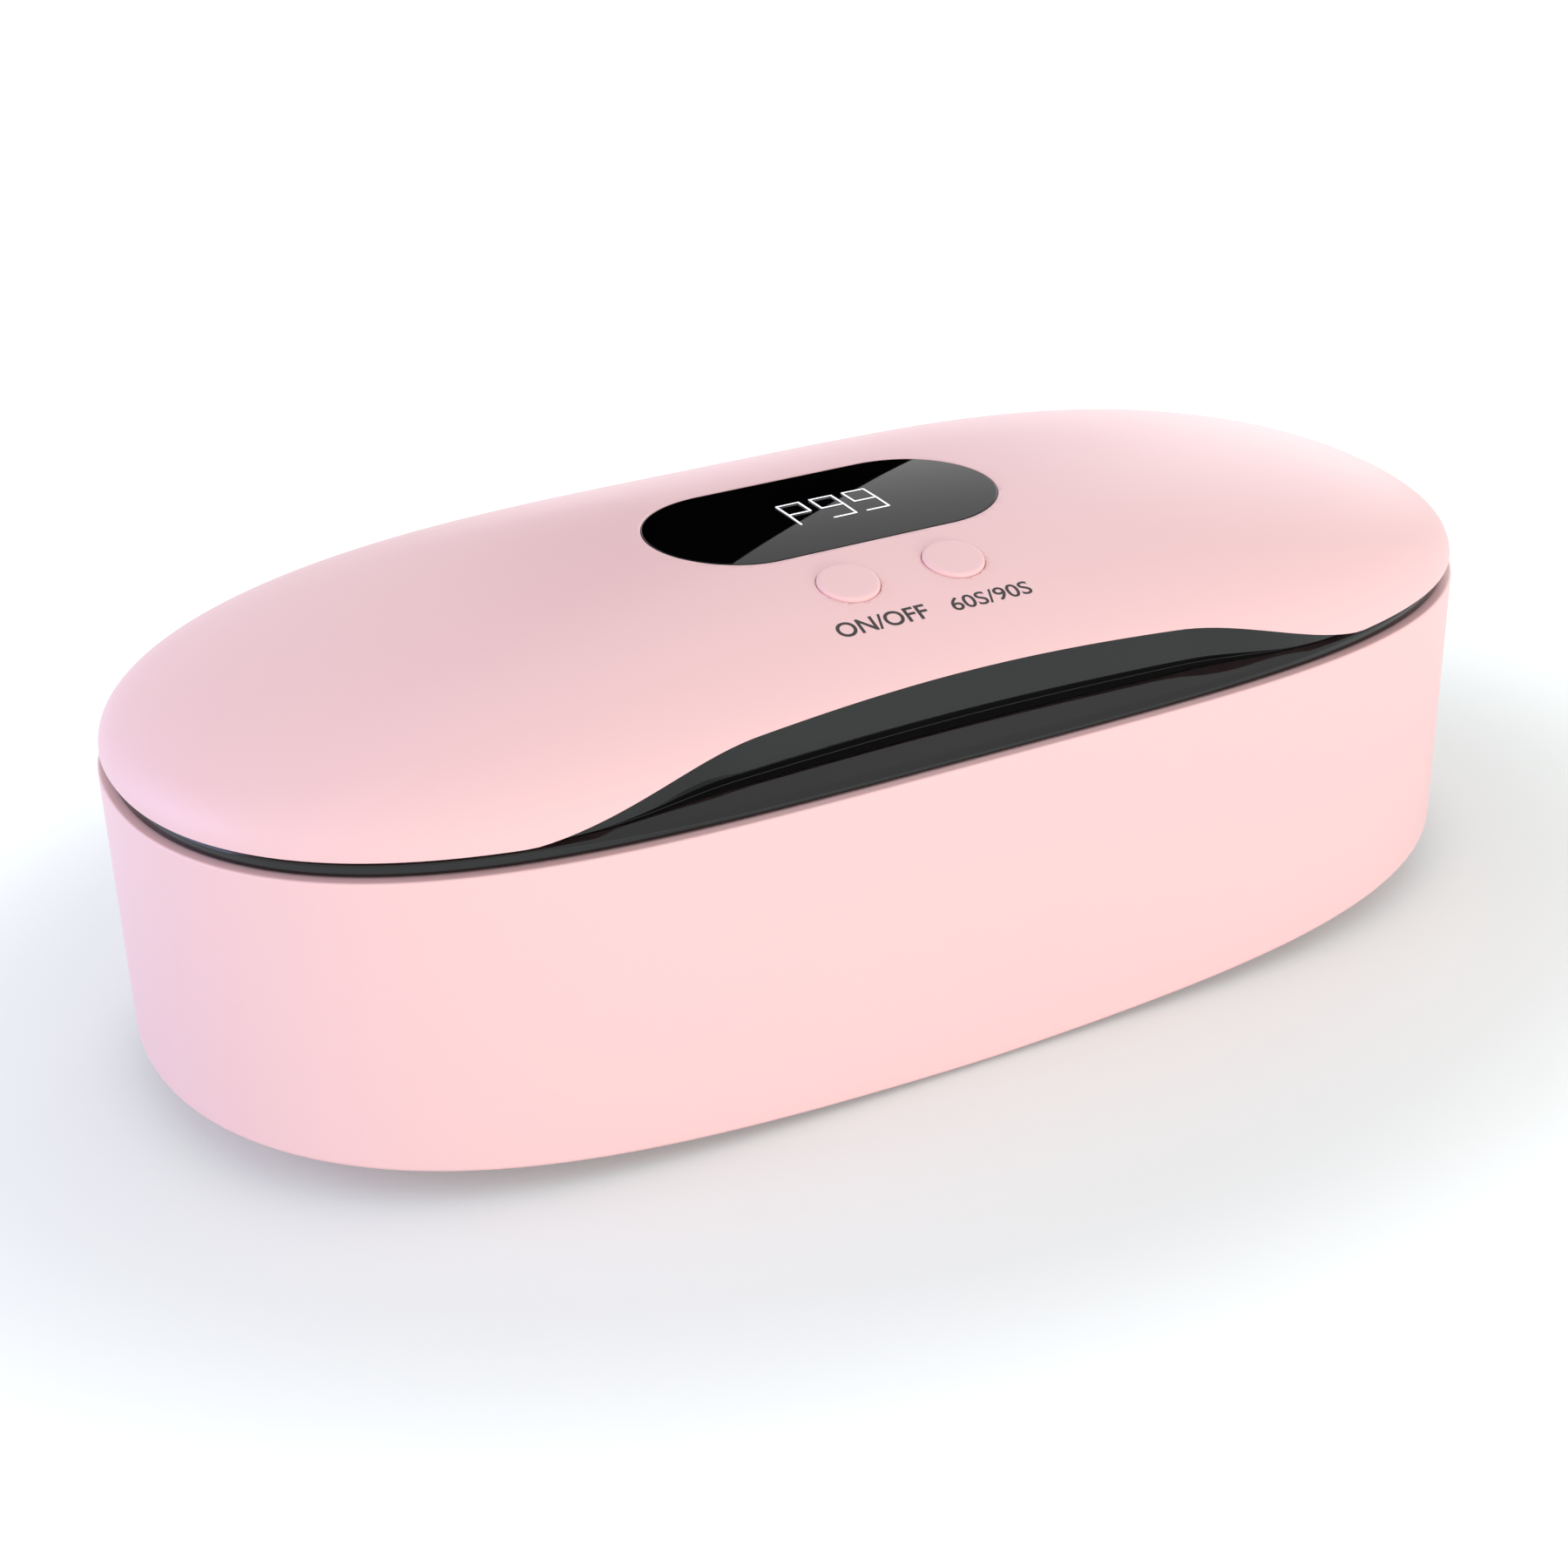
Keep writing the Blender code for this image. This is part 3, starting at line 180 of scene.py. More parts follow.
def swept(name, rings, body=None, material_slot=None, closed=False, sharp=35):
    """Joins rings into a shell. An open row of rings is capped at both ends."""
    count = len(rings[0])
    faces = ring_faces(len(rings), count, closed)
    if not closed:
        last = len(rings) * count - 1
        faces += [range(count), range(last, last - count, -1)]
    return mesh_object(name, np.concatenate(rings), faces, body, material_slot, sharp)


def arc_rings(centre_inset, centre_z, radius, start, end, steps):
    """Rings round a quarter or so of a circle. Angles in degrees, 0 points inward."""
    rings = []
    for t in np.linspace(math.radians(start), math.radians(end), steps):
        rings.append(ring(centre_inset + radius * math.cos(t), centre_z + radius * math.sin(t)))
    return rings


def between(first, second, t):
    return first + t * (second - first)


def bend_rings(start, corner, end, turns):
    """Rings along the curve that leaves start and reaches end, pulled towards the corner."""
    return [(1 - t) ** 2 * start + 2 * t * (1 - t) * corner + t**2 * end for t in turns]


def halved(low, high, short):
    """Where a test turns, by halving: short(value) says whether the value is still too small."""
    for _ in range(45):
        middle = (low + high) / 2
        small = short(middle)
        low, high = np.where(small, middle, low), np.where(small, high, middle)
    return high


print("sweep helpers ready")

# %% [markdown]
# ## The dome of the lid
#
# The lid is the outline again, scaled down ring by ring towards the crown while its height rises.
# An angle names each ring: a quarter turn at the edge and zero at the crown. Equal steps of angle
# put more rings near the edge, where the dome bends most. The normal is worked out from the same
# rule, so an inner surface, a window or a printed letter can lie at an exact depth under it.

# %% The dome as a rule
cover_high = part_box("lid_cover")[1]
lens_low, lens_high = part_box("display_lens")
LID_INSET = 0.0005
PARTING_GAP = 0.0027
LID_EDGE = RIM + PARTING_GAP
DOME_RISE = 0.0194
CROWN_POWER = 2.13
WALL = 0.0024
GAP = 0.0003


def dome(angle, below=0.0, cols=columns):
    """Points of the dome, one per column, at an angle from the crown and a depth under it."""
    x, y, nx, ny = cols
    ex, ey = x - LID_INSET * nx, y - LID_INSET * ny
    sin, cos = np.sin(angle), np.maximum(np.cos(angle), 0)
    spread = DOME_RISE * 2 / CROWN_POWER * sin / (nx * ex + ny * ey)
    normal = np.stack([spread * nx, spread * ny, cos ** (2 - 2 / CROWN_POWER) * np.ones_like(x)], axis=1)
    normal /= np.linalg.norm(normal, axis=1, keepdims=True)
    z = LID_EDGE + DOME_RISE * cos ** (2 / CROWN_POWER) * np.ones_like(x)
    points = np.stack([ex * sin, ey * sin, z], axis=1) - np.reshape(below, (-1, 1)) * normal
    points[:, 1] += CENTRE_Y
    return points


def dome_at(x, y):
    """Point and outward normal of the dome over any x and y."""
    x, y = np.atleast_1d(np.asarray(x, float)), np.atleast_1d(np.asarray(y, float)) - CENTRE_Y

    def outside(scale):
        reach = (np.abs(x) / (scale * (HALF_LENGTH - LID_INSET))) ** END_POWER
        return reach + (np.abs(y) / (scale * (HALF_DEPTH - LID_INSET))) ** SIDE_POWER > 1

    scale = halved(np.full(x.shape, 1e-4), np.ones(x.shape), outside)
    nx, ny = outline_normal(x / scale, y / scale)
    cols = (x / scale + LID_INSET * nx, y / scale + LID_INSET * ny, nx, ny)
    angle = np.arcsin(np.minimum(scale, 1))
    point = dome(angle, 0.0, cols)
    normal = point - dome(angle, 0.001, cols)
    return point, normal / np.linalg.norm(normal, axis=1, keepdims=True)


crown = dome_at(0, CENTRE_Y)[0][0]
solid_crown = max(cover_high.z, lens_high.z)
print(f"crown at {1000 * crown[2]:.2f} mm, solid's crown at {1000 * solid_crown:.2f} mm")

# %% [markdown]
# ## The wave and the finger scoop
#
# Along the front, the lid's lower edge rises in a wave: flat in the middle, steep on the shoulders,
# and running out softly. The height of the wave is a short formula, and each column finds by
# bisection the dome angle at which its surface has that height.

# %% The wave cut in the lid's front edge
SCOOP_RISE = 0.0089
SCOOP_SAG = 0.0051
SCOOP_HALF = 0.068
SCOOP_SHOULDER = 0.034
SCOOP_EASE = 0.05


def wave_height(x):
    t = np.clip((SCOOP_HALF - np.abs(x)) / SCOOP_SHOULDER, 0, 1)
    t = (1 + SCOOP_EASE) * t * t / (t + SCOOP_EASE)
    return (SCOOP_RISE - SCOOP_SAG * (x / SCOOP_HALF) ** 2) * np.sin(math.pi / 2 * t)


def edge_angles(cols):
    x, y, nx, ny = cols

    def above_wave(angle):
        return DOME_RISE * np.cos(angle) ** (2 / CROWN_POWER) > wave_height(x * np.sin(angle))

    angle = halved(np.full(x.shape, math.radians(45)), np.full(x.shape, math.pi / 2), above_wave)
    return np.where((y < 0) & (np.abs(x) < SCOOP_HALF), angle, math.pi / 2)


edges = edge_angles(columns)
share = np.where(columns[1] < 0, wave_height(columns[0]) / SCOOP_RISE, 0)
print(f"wave rises {1000 * wave_height(0):.1f} mm, least edge angle {math.degrees(edges.min()):.0f} degrees")

# %% [markdown]
# ## Finishes
#
# The lamp is new and clean, so the finishes differ by small things: how rough the surface is, how
# fine its moulding grain is, and how far colour and gloss wander over it. One node group holds that
# wandering. Each material places it with its own values and feeds its own Principled shader.

# %% A node group for moulded surfaces
def link(tree, source, target):
    """Feeds a socket from another one, or sets it to a constant."""
    if isinstance(source, bpy.types.NodeSocket):
        tree.links.new(source, target)
    else:
        target.default_value = source


def feed(tree, made, sources):
    for name, source in sources.items():
        link(tree, source, made.inputs[name])


def node(tree, kind, sources=None, **settings):
    """A shader node with its settings, and a source or a constant for each named input."""
    made = tree.nodes.new("ShaderNode" + kind)
    for name, value in settings.items():
        setattr(made, name, value)
    feed(tree, made, sources or {})
    return made


def math_node(tree, operation, *sources):
    return node(tree, "Math", dict(enumerate(sources)), operation=operation).outputs[0]


def colour_mix(tree, share, first, second):
    return node(tree, "Mix", {0: share, 6: first, 7: second}, data_type="RGBA").outputs[2]


GROUP_INPUTS = (
    ("Colour", "Color", (0.8, 0.8, 0.8, 1)), ("Tint", "Color", (0.7, 0.7, 0.7, 1)),
    ("Tint Share", "Float", 0.1), ("Roughness", "Float", 0.4), ("Roughness Drift", "Float", 0.05),
    ("Patch Scale", "Float", 18.0), ("Grain Scale", "Float", 2500.0),
)
GROUP_OUTPUTS = (("Colour", "Color"), ("Roughness", "Float"), ("Height", "Float"))


def make_moulded_group():
    """Colour, roughness and height that wander a little over a moulded piece."""
    tree = bpy.data.node_groups.new("moulded_surface", "ShaderNodeTree")
    for name, kind, value in GROUP_INPUTS:
        socket = tree.interface.new_socket(name=name, in_out="INPUT", socket_type="NodeSocket" + kind)
        socket.default_value = value
    for name, kind in GROUP_OUTPUTS:
        tree.interface.new_socket(name=name, in_out="OUTPUT", socket_type="NodeSocket" + kind)
    ins = tree.nodes.new("NodeGroupInput").outputs
    outs = tree.nodes.new("NodeGroupOutput").inputs
    place = node(tree, "TexCoord").outputs["Object"]
    patch = node(tree, "TexNoise", {"Vector": place, "Scale": ins["Patch Scale"], "Detail": 3}).outputs["Fac"]
    grain = node(tree, "TexNoise", {"Vector": place, "Scale": ins["Grain Scale"], "Detail": 2}).outputs["Fac"]
    share = math_node(tree, "MULTIPLY", patch, ins["Tint Share"])
    centred = math_node(tree, "SUBTRACT", grain, 0.5)
    rough = math_node(tree, "MULTIPLY_ADD", centred, ins["Roughness Drift"], ins["Roughness"])
    link(tree, colour_mix(tree, share, ins["Colour"], ins["Tint"]), outs["Colour"])
    link(tree, rough, outs["Roughness"])
    link(tree, grain, outs["Height"])
    return tree


moulded = make_moulded_group()
print("group", moulded.name, "has", len(moulded.nodes), "nodes")


# %% A material from the group
def linear(red, green, blue):
    """A colour written as 0 to 255 screen values, turned into the light values that nodes use."""
    out = []
    for value in (red, green, blue):
        v = value / 255
        out.append(v / 12.92 if v <= 0.04045 else ((v + 0.055) / 1.055) ** 2.4)
    return (*out, 1)


def new_material(name):
    """A material with its node tree and its Principled shader."""
    made = bpy.data.materials.new(name)
    made.use_nodes = True
    return made, made.node_tree, made.node_tree.nodes["Principled BSDF"]


def finish(
    name, colour, tint, rough, share=0.1, drift=0.05, patch=18, grain=2500, bump=0.02, metal=0.0, coat=0.0
):
    """A Principled material whose colour, roughness and relief come from the moulded group."""
    made, tree, shader = new_material(name)
    values = (colour, tint, share, rough, drift, patch, grain)
    group = node(tree, "Group", dict(enumerate(values)), node_tree=moulded).outputs
    relief = node(tree, "Bump", {"Strength": bump, "Distance": 0.0001, "Height": group["Height"]})
    feed(tree, shader, {
        "Base Color": group["Colour"], "Roughness": group["Roughness"], "Normal": relief.outputs["Normal"],
        "Metallic": metal, "Coat Weight": coat,
    })
    return made


def group_colour(tree):
    """The colour that the moulded group gives in a finished material."""
    return next(n for n in tree.nodes if n.type == "GROUP").outputs["Colour"]


pink = finish("pink_satin", linear(244, 203, 204), linear(240, 196, 199), 0.42, share=0.12, bump=0.05)
ink = finish("printed_ink", linear(50, 45, 47), linear(40, 36, 38), 0.5, patch=900)
print("pink and ink ready")

# %% [markdown]
# The liner and the display window are gloss black. What they show is what stands round them, so
# their roughness is low and their grain almost nil. The window is the smoother of the two.

# %% Black finishes
piano_black = finish(
    "piano_black", (0.0006, 0.0006, 0.0007, 1), (0.0012, 0.0012, 0.0013, 1), 0.05,
    share=0.3, drift=0.02, bump=0.004,
)
window_black = finish(
    "window_black", (0.001, 0.001, 0.0012, 1), (0.002, 0.002, 0.002, 1), 0.02,
    share=0.3, drift=0.004, bump=0.0,
)
window_black.node_tree.nodes["Principled BSDF"].inputs["Specular IOR Level"].default_value = 0.26
matte_black = finish(
    "matte_black", (0.02, 0.02, 0.021, 1), (0.035, 0.035, 0.035, 1), 0.6, share=0.4, grain=1800, bump=0.2
)
print("black finishes ready")

# %% [markdown]
# Inside, the lid plate and the tray are white, so that they throw the lamps' light back on the
# nails. The mat is grey silicone, the feet are rubber, and the small metal pieces are steel. The
# slot of a piece says which finish it gets. The finish of the lamp beads is made with the beads.

# %% Finishes of the inner pieces
white = finish("white_reflector", linear(226, 226, 230), linear(214, 214, 220), 0.3, bump=0.03)
silicone = finish(
    "grey_silicone", linear(178, 176, 182), linear(160, 158, 165), 0.62, share=0.3, grain=1600, bump=0.25
)
rubber = finish(
    "foot_rubber", (0.03, 0.03, 0.03, 1), (0.05, 0.05, 0.05, 1), 0.8, share=0.5, grain=1500, bump=0.3
)
steel = finish(
    "plain_steel", (0.5, 0.5, 0.51, 1), (0.36, 0.36, 0.37, 1), 0.28,
    share=0.4, drift=0.2, patch=300, metal=1.0,
)
nickel = finish(
    "nickel_plate", (0.62, 0.6, 0.56, 1), (0.5, 0.48, 0.45, 1), 0.2,
    share=0.3, drift=0.1, patch=400, metal=1.0,
)
board = finish(
    "circuit_board", (0.02, 0.12, 0.06, 1), (0.04, 0.2, 0.09, 1), 0.35, share=0.8, patch=500, bump=0.05
)
led_mask = finish("white_board_mask", linear(232, 232, 234), linear(210, 212, 216), 0.4, patch=400)
cell_wrap = finish("cell_wrap", (0.03, 0.1, 0.38, 1), (0.02, 0.07, 0.3, 1), 0.3, share=0.5, patch=60)
LOOKS = {
    "pink_plastic": pink, "black_gloss": piano_black, "display_glass": window_black, "white_plastic": white,
    "grey_silicone": silicone, "rubber": rubber, "steel": steel, "magnet_nickel": nickel,
    "circuit_board": board, "white_board": led_mask, "cell_wrap": cell_wrap, "switch_black": matte_black,
}
print(len(bpy.data.materials), "materials in all")

# %% [markdown]
# ## The tub
#
# The tub is one moulded wall. Its outer edges are softened, and a flat ledge on top carries the
# lid. The lower edge is lowest in the middle and climbs towards both ends. Two extra rings next to
# each softened edge keep the shading of the tall wall flat.

# %% Sweep the tub
END_SWEEP = 0.0066
SWEEP_POWER = 1.6
LEDGE = 0.0024
SHOULDER = 0.0042
SKIRT = 0.0014
PLATE_SEAT = 0.0021
FOOT_CORNER = 0.0008
RIM_CORNER = 0.00035
foot_line = LIFT + END_SWEEP * np.clip(np.abs(columns[0]) / HALF_LENGTH, 0, 1) ** SWEEP_POWER


def tub_rings():
    rings = arc_rings(FOOT_CORNER, FOOT_CORNER, FOOT_CORNER, 270, 180, 6)
    for up in rings:
        up[:, 2] += foot_line
    rings += rings_at((0, foot_line + 2 * FOOT_CORNER), (0, (foot_line + RIM) / 2), (0, RIM - 0.0010))
    rings += arc_rings(RIM_CORNER, RIM - RIM_CORNER, RIM_CORNER, 180, 90, 5)
    rings += rings_at((0.0006, RIM), (LEDGE - 0.0004, RIM))
    rings += arc_rings(LEDGE - 0.0002, RIM - 0.0002, 0.0002, 90, 0, 3)
    rings += rings_at((LEDGE, RIM - 0.0020), (SHOULDER, RIM - 0.0020), (SHOULDER, RIM - 0.0029))
    rings += rings_at((LEDGE, RIM - 0.0056), (LEDGE, foot_line + PLATE_SEAT))
    return rings + rings_at((SKIRT, foot_line + PLATE_SEAT), (SKIRT, foot_line))


tub = swept("tub", tub_rings(), "base", "pink_plastic", closed=True)
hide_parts("base_shell")
print("tub has", len(tub.data.polygons), "faces")

# %% [markdown]
# ## The lid cover
#
# The cover follows the dome down to the wave. Its underside is cut level there, so the lip is wider
# where the dome leans. The corners are rounded over a little, because a sharp moulded edge would
# chip. The outer surface has many rings and the hidden inner one only a few.

# %% Sweep the cover
LAP = math.radians(11)
LIP_CORNER = 0.00028
LEAST_RADIUS = 0.05
COVER_ROWS = 56


def level_angles(below, z):
    """Dome angles at which the surface at a depth has come down to height z."""
    return halved(edges - math.radians(25), edges, lambda angle: dome(angle, below)[:, 2] > z)


def level_ring(below, z):
    points = dome(level_angles(below, z), below)
    points[:, 2] = z
    return points


lip = dome(edges)
lap_ends = level_angles(WALL, lip[:, 2]) - LAP


def cover_rings():
    rings = []
    for row in range(COVER_ROWS + 1):
        step = (row + 0.4) / (COVER_ROWS + 0.4)
        rings.append(dome(step * (edges - LIP_CORNER / LEAST_RADIUS)))
    inner = level_ring(WALL, lip[:, 2])
    across = (inner - lip) / np.linalg.norm(inner - lip, axis=1, keepdims=True)
    rings += bend_rings(rings[-1], lip, lip + LIP_CORNER * across, (0.25, 0.5, 0.75, 1.0))
    rings.append(inner - 0.0002 * across)
    rings.append(dome(level_angles(WALL, lip[:, 2]) - 0.006, WALL))
    for row in range(14, -1, -1):
        rings.append(dome(lap_ends * (row + 0.4) / 14.4, WALL))
    return rings


cover = swept("lid_dome", cover_rings(), "lid", "pink_plastic")
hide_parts("lid_cover")
print("cover has", len(cover.data.polygons), "faces")


# %% [markdown]
# ## Openings in the cover
#
# The window sits in a pocket and each button in a hole. A cutter is built on the dome itself: rings
# of the opening's outline at a depth and a margin. The first rings flare, which leaves a fine
# rounded edge that catches the light. A Boolean modifier then takes the cutter out of the cover.

# %% Outlines on the dome
def stadium(length, width, steps=40):
    """Plan outline of a slot with round ends, centred on the origin."""
    radius, reach = width / 2, (length - width) / 2
    t = np.linspace(0, math.pi, steps + 1)
    right = np.stack([reach + radius * np.sin(t), -radius * np.cos(t)], axis=1)
    return np.concatenate([right, -right])


def disc(radius, steps=96):
    t = np.linspace(0, 2 * math.pi, steps, endpoint=False)
    return np.stack([radius * np.cos(t), radius * np.sin(t)], axis=1)


def on_dome(plan, depth):
    """Plan points laid on the dome at a depth under it. A negative depth is above."""
    point, normal = dome_at(plan[:, 0], plan[:, 1])
    return point - depth * normal


def cut_from(target, cutter):
    """A live cut. The cutter isn't rendered, and it goes where the target goes."""
    cutter.hide_render = True
    cutter.display_type = "WIRE"
    cutter.parent = target.parent
    cutter.matrix_world = Matrix.Identity(4)
    change = target.modifiers.new("Cut " + cutter.name, "BOOLEAN")
    change.operation = "DIFFERENCE"
    change.solver = "EXACT"
    change.object = cutter
    return change


def even_shading(*pieces):
    """Lets large faces rule the shading, so the small ones left by a cut don't ripple them."""
    for piece in pieces:
        change = piece.modifiers.new("Even shading", "WEIGHTED_NORMAL")
        change.keep_sharp = True
        change.weight = 100


print("helpers for openings ready")

# %% [markdown]
# ## The display window
#
# The window is a stadium of black gloss that lies flush in the cover. It follows the dome, so its
# reflection bends gently. A mirror shows every small change of curvature, so the normals on top are
# those of one even curve, fitted to the dome under the window. A thin seam is left round it.

# %% Window and its pocket
LENS_CENTRE = ((lens_low.x + lens_high.x) / 2, (lens_low.y + lens_high.y) / 2)
LENS_LENGTH = lens_high.x - lens_low.x
LENS_WIDTH = lens_high.y - lens_low.y
LENS_THICK = 0.0014
LENS_EDGE = [
    (-0.0002, LENS_THICK), (0, LENS_THICK - 0.0002), (0, 0.0002),
    (-0.00006, 0.00006), (-0.0002, 0.0), (-0.0006, 0.0),
]
POCKET = [(0.0012, -0.0060), (0.0004, -0.0003), (0.00016, 0.0), (0.00008, 0.0001), (0.00008, 0.0050)]


def lens_rings(spots):
    """Rings of the window's outline. The spots are (margin, depth)."""
    rings = []
    for margin, depth in spots:
        plan = stadium(LENS_LENGTH + 2 * margin, LENS_WIDTH + 2 * margin) + LENS_CENTRE
        rings.append(on_dome(plan, depth))
    return rings


def make_window():
    top = [(-inset, 0.0) for inset in np.linspace(0.0015, LENS_WIDTH / 2 - 0.0003, 20)]
    made = swept("display_window", lens_rings(LENS_EDGE + top), "lid", "display_glass")
    mesh = made.data
    spots = np.array([v.co for v in mesh.vertices])
    point, rule = dome_at(spots[:, 0], spots[:, 1])
    own = np.array([v.normal for v in mesh.vertices])
    on_top = (np.abs(spots - point).max(axis=1) < 0.00002) & (own[:, 2] > 0.5)
    plan = np.column_stack([np.ones(len(spots)), spots[:, :2] - LENS_CENTRE])
    slopes = np.linalg.lstsq(plan[on_top], -rule[on_top, :2] / rule[on_top, 2:], rcond=None)[0]
    even = np.column_stack([-plan @ slopes, np.ones(len(spots))])
    even /= np.linalg.norm(even, axis=1, keepdims=True)
    mesh.normals_split_custom_set_from_vertices(np.where(on_top[:, None], even, own).tolist())
    return made


window = make_window()
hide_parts("display_lens")
cut_from(cover, swept("window_pocket_cutter", lens_rings(POCKET)))
print(f"window {1000 * LENS_LENGTH:.1f} x {1000 * LENS_WIDTH:.1f} mm")

# %% [markdown]
# ## The push buttons
#
# Each button is a low disc that stands half a millimetre proud, with a rounded edge. It moves in
# its own body along the dome's normal. The fine button keeps the cap of the solid and adds the
# rounding; the hole round it gets a soft edge as well.

# %% Buttons and their holes
def dome_axes(x, y):
    """Point on the dome, with the directions along the lamp, up the slope and outward there."""
    point, normal = dome_at(x, y)
    point, normal = point[0], normal[0]
    along = np.array([1.0, 0, 0]) - normal[0] * normal
    along /= np.linalg.norm(along)
    return point, along, np.cross(normal, along), normal


def button_frame(body):
    """Middle of the cap on the dome, and the dome's axes there."""
    low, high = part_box(body)
    points = np.array([v.co for v in nodes[body].data.vertices])
    x = (low.x + high.x) / 2

    def reach(place):
        """How far the solid goes from the axis of that place."""
        away = points - place[0]
        return np.linalg.norm(away - (away @ place[3])[:, None] * place[3], axis=1).max()

    return min((dome_axes(x, y) for y in np.linspace(low.y, high.y, 400)), key=reach)


def turned_rings(place, profile, steps=96):
    """Rings about the place's normal. The profile is a list of (radius, height)."""
    point, along, across, normal = place
    rings = []
    for radius, height in profile:
        plan = disc(radius, steps)
        rings.append(point + plan[:, :1] * along + plan[:, 1:] * across + height * normal)
    return rings


CAP = [
    (0.0046, -0.0025), (0.0046, -0.0001), (0.00455, 0.0002), (0.00443, 0.00038),
    (0.00425, 0.00047), (0.0040, 0.0005), (0.0036, 0.00052), (0.0004, 0.00053),
]
BUTTON_HOLE = [
    (0.0060, 0.0010), (0.0052, 0.0003), (0.00483, 0.00002),
    (0.00472, -0.0001), (0.00467, -0.00025), (0.00467, -0.0040),
]
for body in ("power_button", "timer_button"):
    place = button_frame(body)
    cap = swept(body + "_cap", turned_rings(place, CAP), body, "pink_plastic")
    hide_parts(body)
    cut_from(cover, swept(body + "_hole_cutter", turned_rings(place, BUTTON_HOLE)))
    print(body, [round(1000 * float(v), 2) for v in place[0]])

# %% [markdown]
# ## The liner
#
# The liner is the glossy black ring in the parting gap. At the front it opens into the finger
# scoop: a rounded nose, a slope, a level shelf and an upright wall that ends under the cover's lip.
# One profile holds them all, and each column blends between the plain ring and the full scoop.

# %% Sweep the liner
RING_INSET = 0.0015
RING_STEP = 0.0002
RING_TOP = LID_EDGE - GAP - RING_STEP
RING_NOSE = 0.0008
FLANGE_LOW = RIM + GAP
FLANGE_HIGH = FLANGE_LOW + 0.0018
FLANGE_END = 0.0120
FLANGE_CORNER = 0.0003
LINER_WALL = 0.0016
COVE_LIP = 0.0021
COVE_NOSE = 0.0010
COVE_SHELF = 0.0018
COVE_SHELF_RISE = 0.0015


def liner_rings():
    """The share says how far a column is from the plain ring, 0, to the full scoop, 1."""
    x, y, nx, ny = columns
    lap = WALL + GAP
    under = lip[:, 2] - GAP
    wall = nx * (x - lip[:, 0]) + ny * (y + CENTRE_Y - lip[:, 1]) + COVE_LIP
    foot = wall + LINER_WALL + (lap - COVE_LIP) * (1 - share)
    shelf = RING_TOP + COVE_SHELF_RISE * share
    fillet = 0.0001 + 0.00002 * share
    ridge = wall - fillet - 0.0001 - COVE_SHELF * share**2
    nose = RING_NOSE + COVE_NOSE * share
    nose_inset = RING_INSET + nose
    nose_z = between(RING_TOP - RING_NOSE, FLANGE_LOW + 0.0001, share)
    reach = np.hypot(ridge - nose_inset, shelf - nose_z)
    tangent = np.arctan2(shelf - nose_z, ridge - nose_inset) + np.arccos(np.minimum(nose / reach, 1))
    rings = [ring(RING_INSET, FLANGE_LOW)]
    for step in np.linspace(0, 1, 16):
        t = between(math.pi, tangent, step)
        rings.append(ring(nose_inset + nose * np.cos(t), nose_z + nose * np.sin(t)))
    bend = 0.0005 * share + 0.00003
    nose_end = rings[-1]
    top = ring(ridge, shelf)
    slope = (nose_end - top) / np.linalg.norm(nose_end - top, axis=1, keepdims=True)
    start = top + slope * bend[:, None]
    rings += [between(nose_end, start, t) for t in (0.5, 0.9)]
    rings += bend_rings(start, top, ring(ridge + bend, shelf), np.linspace(0, 1, 9))
    rings += arc_rings(wall - fillet, shelf + fillet, fillet, -90, 0, 9)
    wall_foot = rings[-1]
    wall_top = lip - COVE_LIP * np.column_stack([nx, ny, 0 * nx])
    wall_top[:, 2] = under
    rings += [between(wall_foot, wall_top, t) for t in (0.05, 0.5, 0.97, 1.0)]
    rings.append(level_ring(lap, under))
    for t in (0.5, 1.0):
        rings.append(dome(between(level_angles(lap, under), lap_ends, t), lap))
    for t in (1.0, 0.5):
        rings.append(dome(between(level_angles(lap + LINER_WALL, under), lap_ends, t), lap + LINER_WALL))
    rings.append(level_ring(lap + LINER_WALL, under))
    rings += rings_at((foot, shelf + fillet), (foot, FLANGE_HIGH))
    rings += rings_at((FLANGE_END - FLANGE_CORNER, FLANGE_HIGH), (FLANGE_END, FLANGE_HIGH - FLANGE_CORNER))
    rings += rings_at((FLANGE_END, FLANGE_LOW + FLANGE_CORNER), (FLANGE_END - FLANGE_CORNER, FLANGE_LOW))
    return rings


liner = swept("scoop_liner", liner_rings(), "lid", "black_gloss", closed=True)
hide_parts("lid_liner")
print("liner has", len(liner.data.polygons), "faces")

# %% [markdown]
# ## The hinge
#
# A pin hinge joins the halves at the back. Two pink barrels are moulded on the tub, each with a
# gusset that runs down into the wall. The black barrel between them belongs to the liner. The shells
# are notched round the barrels, so that nothing rubs when the lid swings.

# %% Hinge barrels and their room
pin_low, pin_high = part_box("hinge_pin")
HINGE_Y = (pin_low.y + pin_high.y) / 2
HINGE_Z = (pin_low.z + pin_high.z) / 2
BARREL = 0.0026
SWING = BARREL + 0.0004
KNUCKLE_END = pin_high.x + GAP
KNUCKLE_MIDDLE = 0.012
PIN_RADIUS = 0.0010
BORE_RADIUS = 0.0012
BACK_FACE = CENTRE_Y + HALF_DEPTH


def bar_along_x(name, outline, start, end, body=None, material_slot=None, edge=0.0):
    """A bar with its section in Y and Z. A small edge softens both ends."""
    outline = np.asarray(outline)
    middle = outline.mean(axis=0)
    rings = []
    ends = [(start, edge), (start + edge * 0.3, edge * 0.3), (start + edge, 0)] if edge else [(start, 0)]
    ends += [(start + end - x, pull) for x, pull in reversed(ends)]
    for x, pull in ends:
        shrunk = middle + (outline - middle) * (1 - pull / BARREL)
        rings.append(np.column_stack([np.full(len(outline), x), shrunk[:, 0], shrunk[:, 1]]))
    return swept(name, rings, body, material_slot, sharp=30)


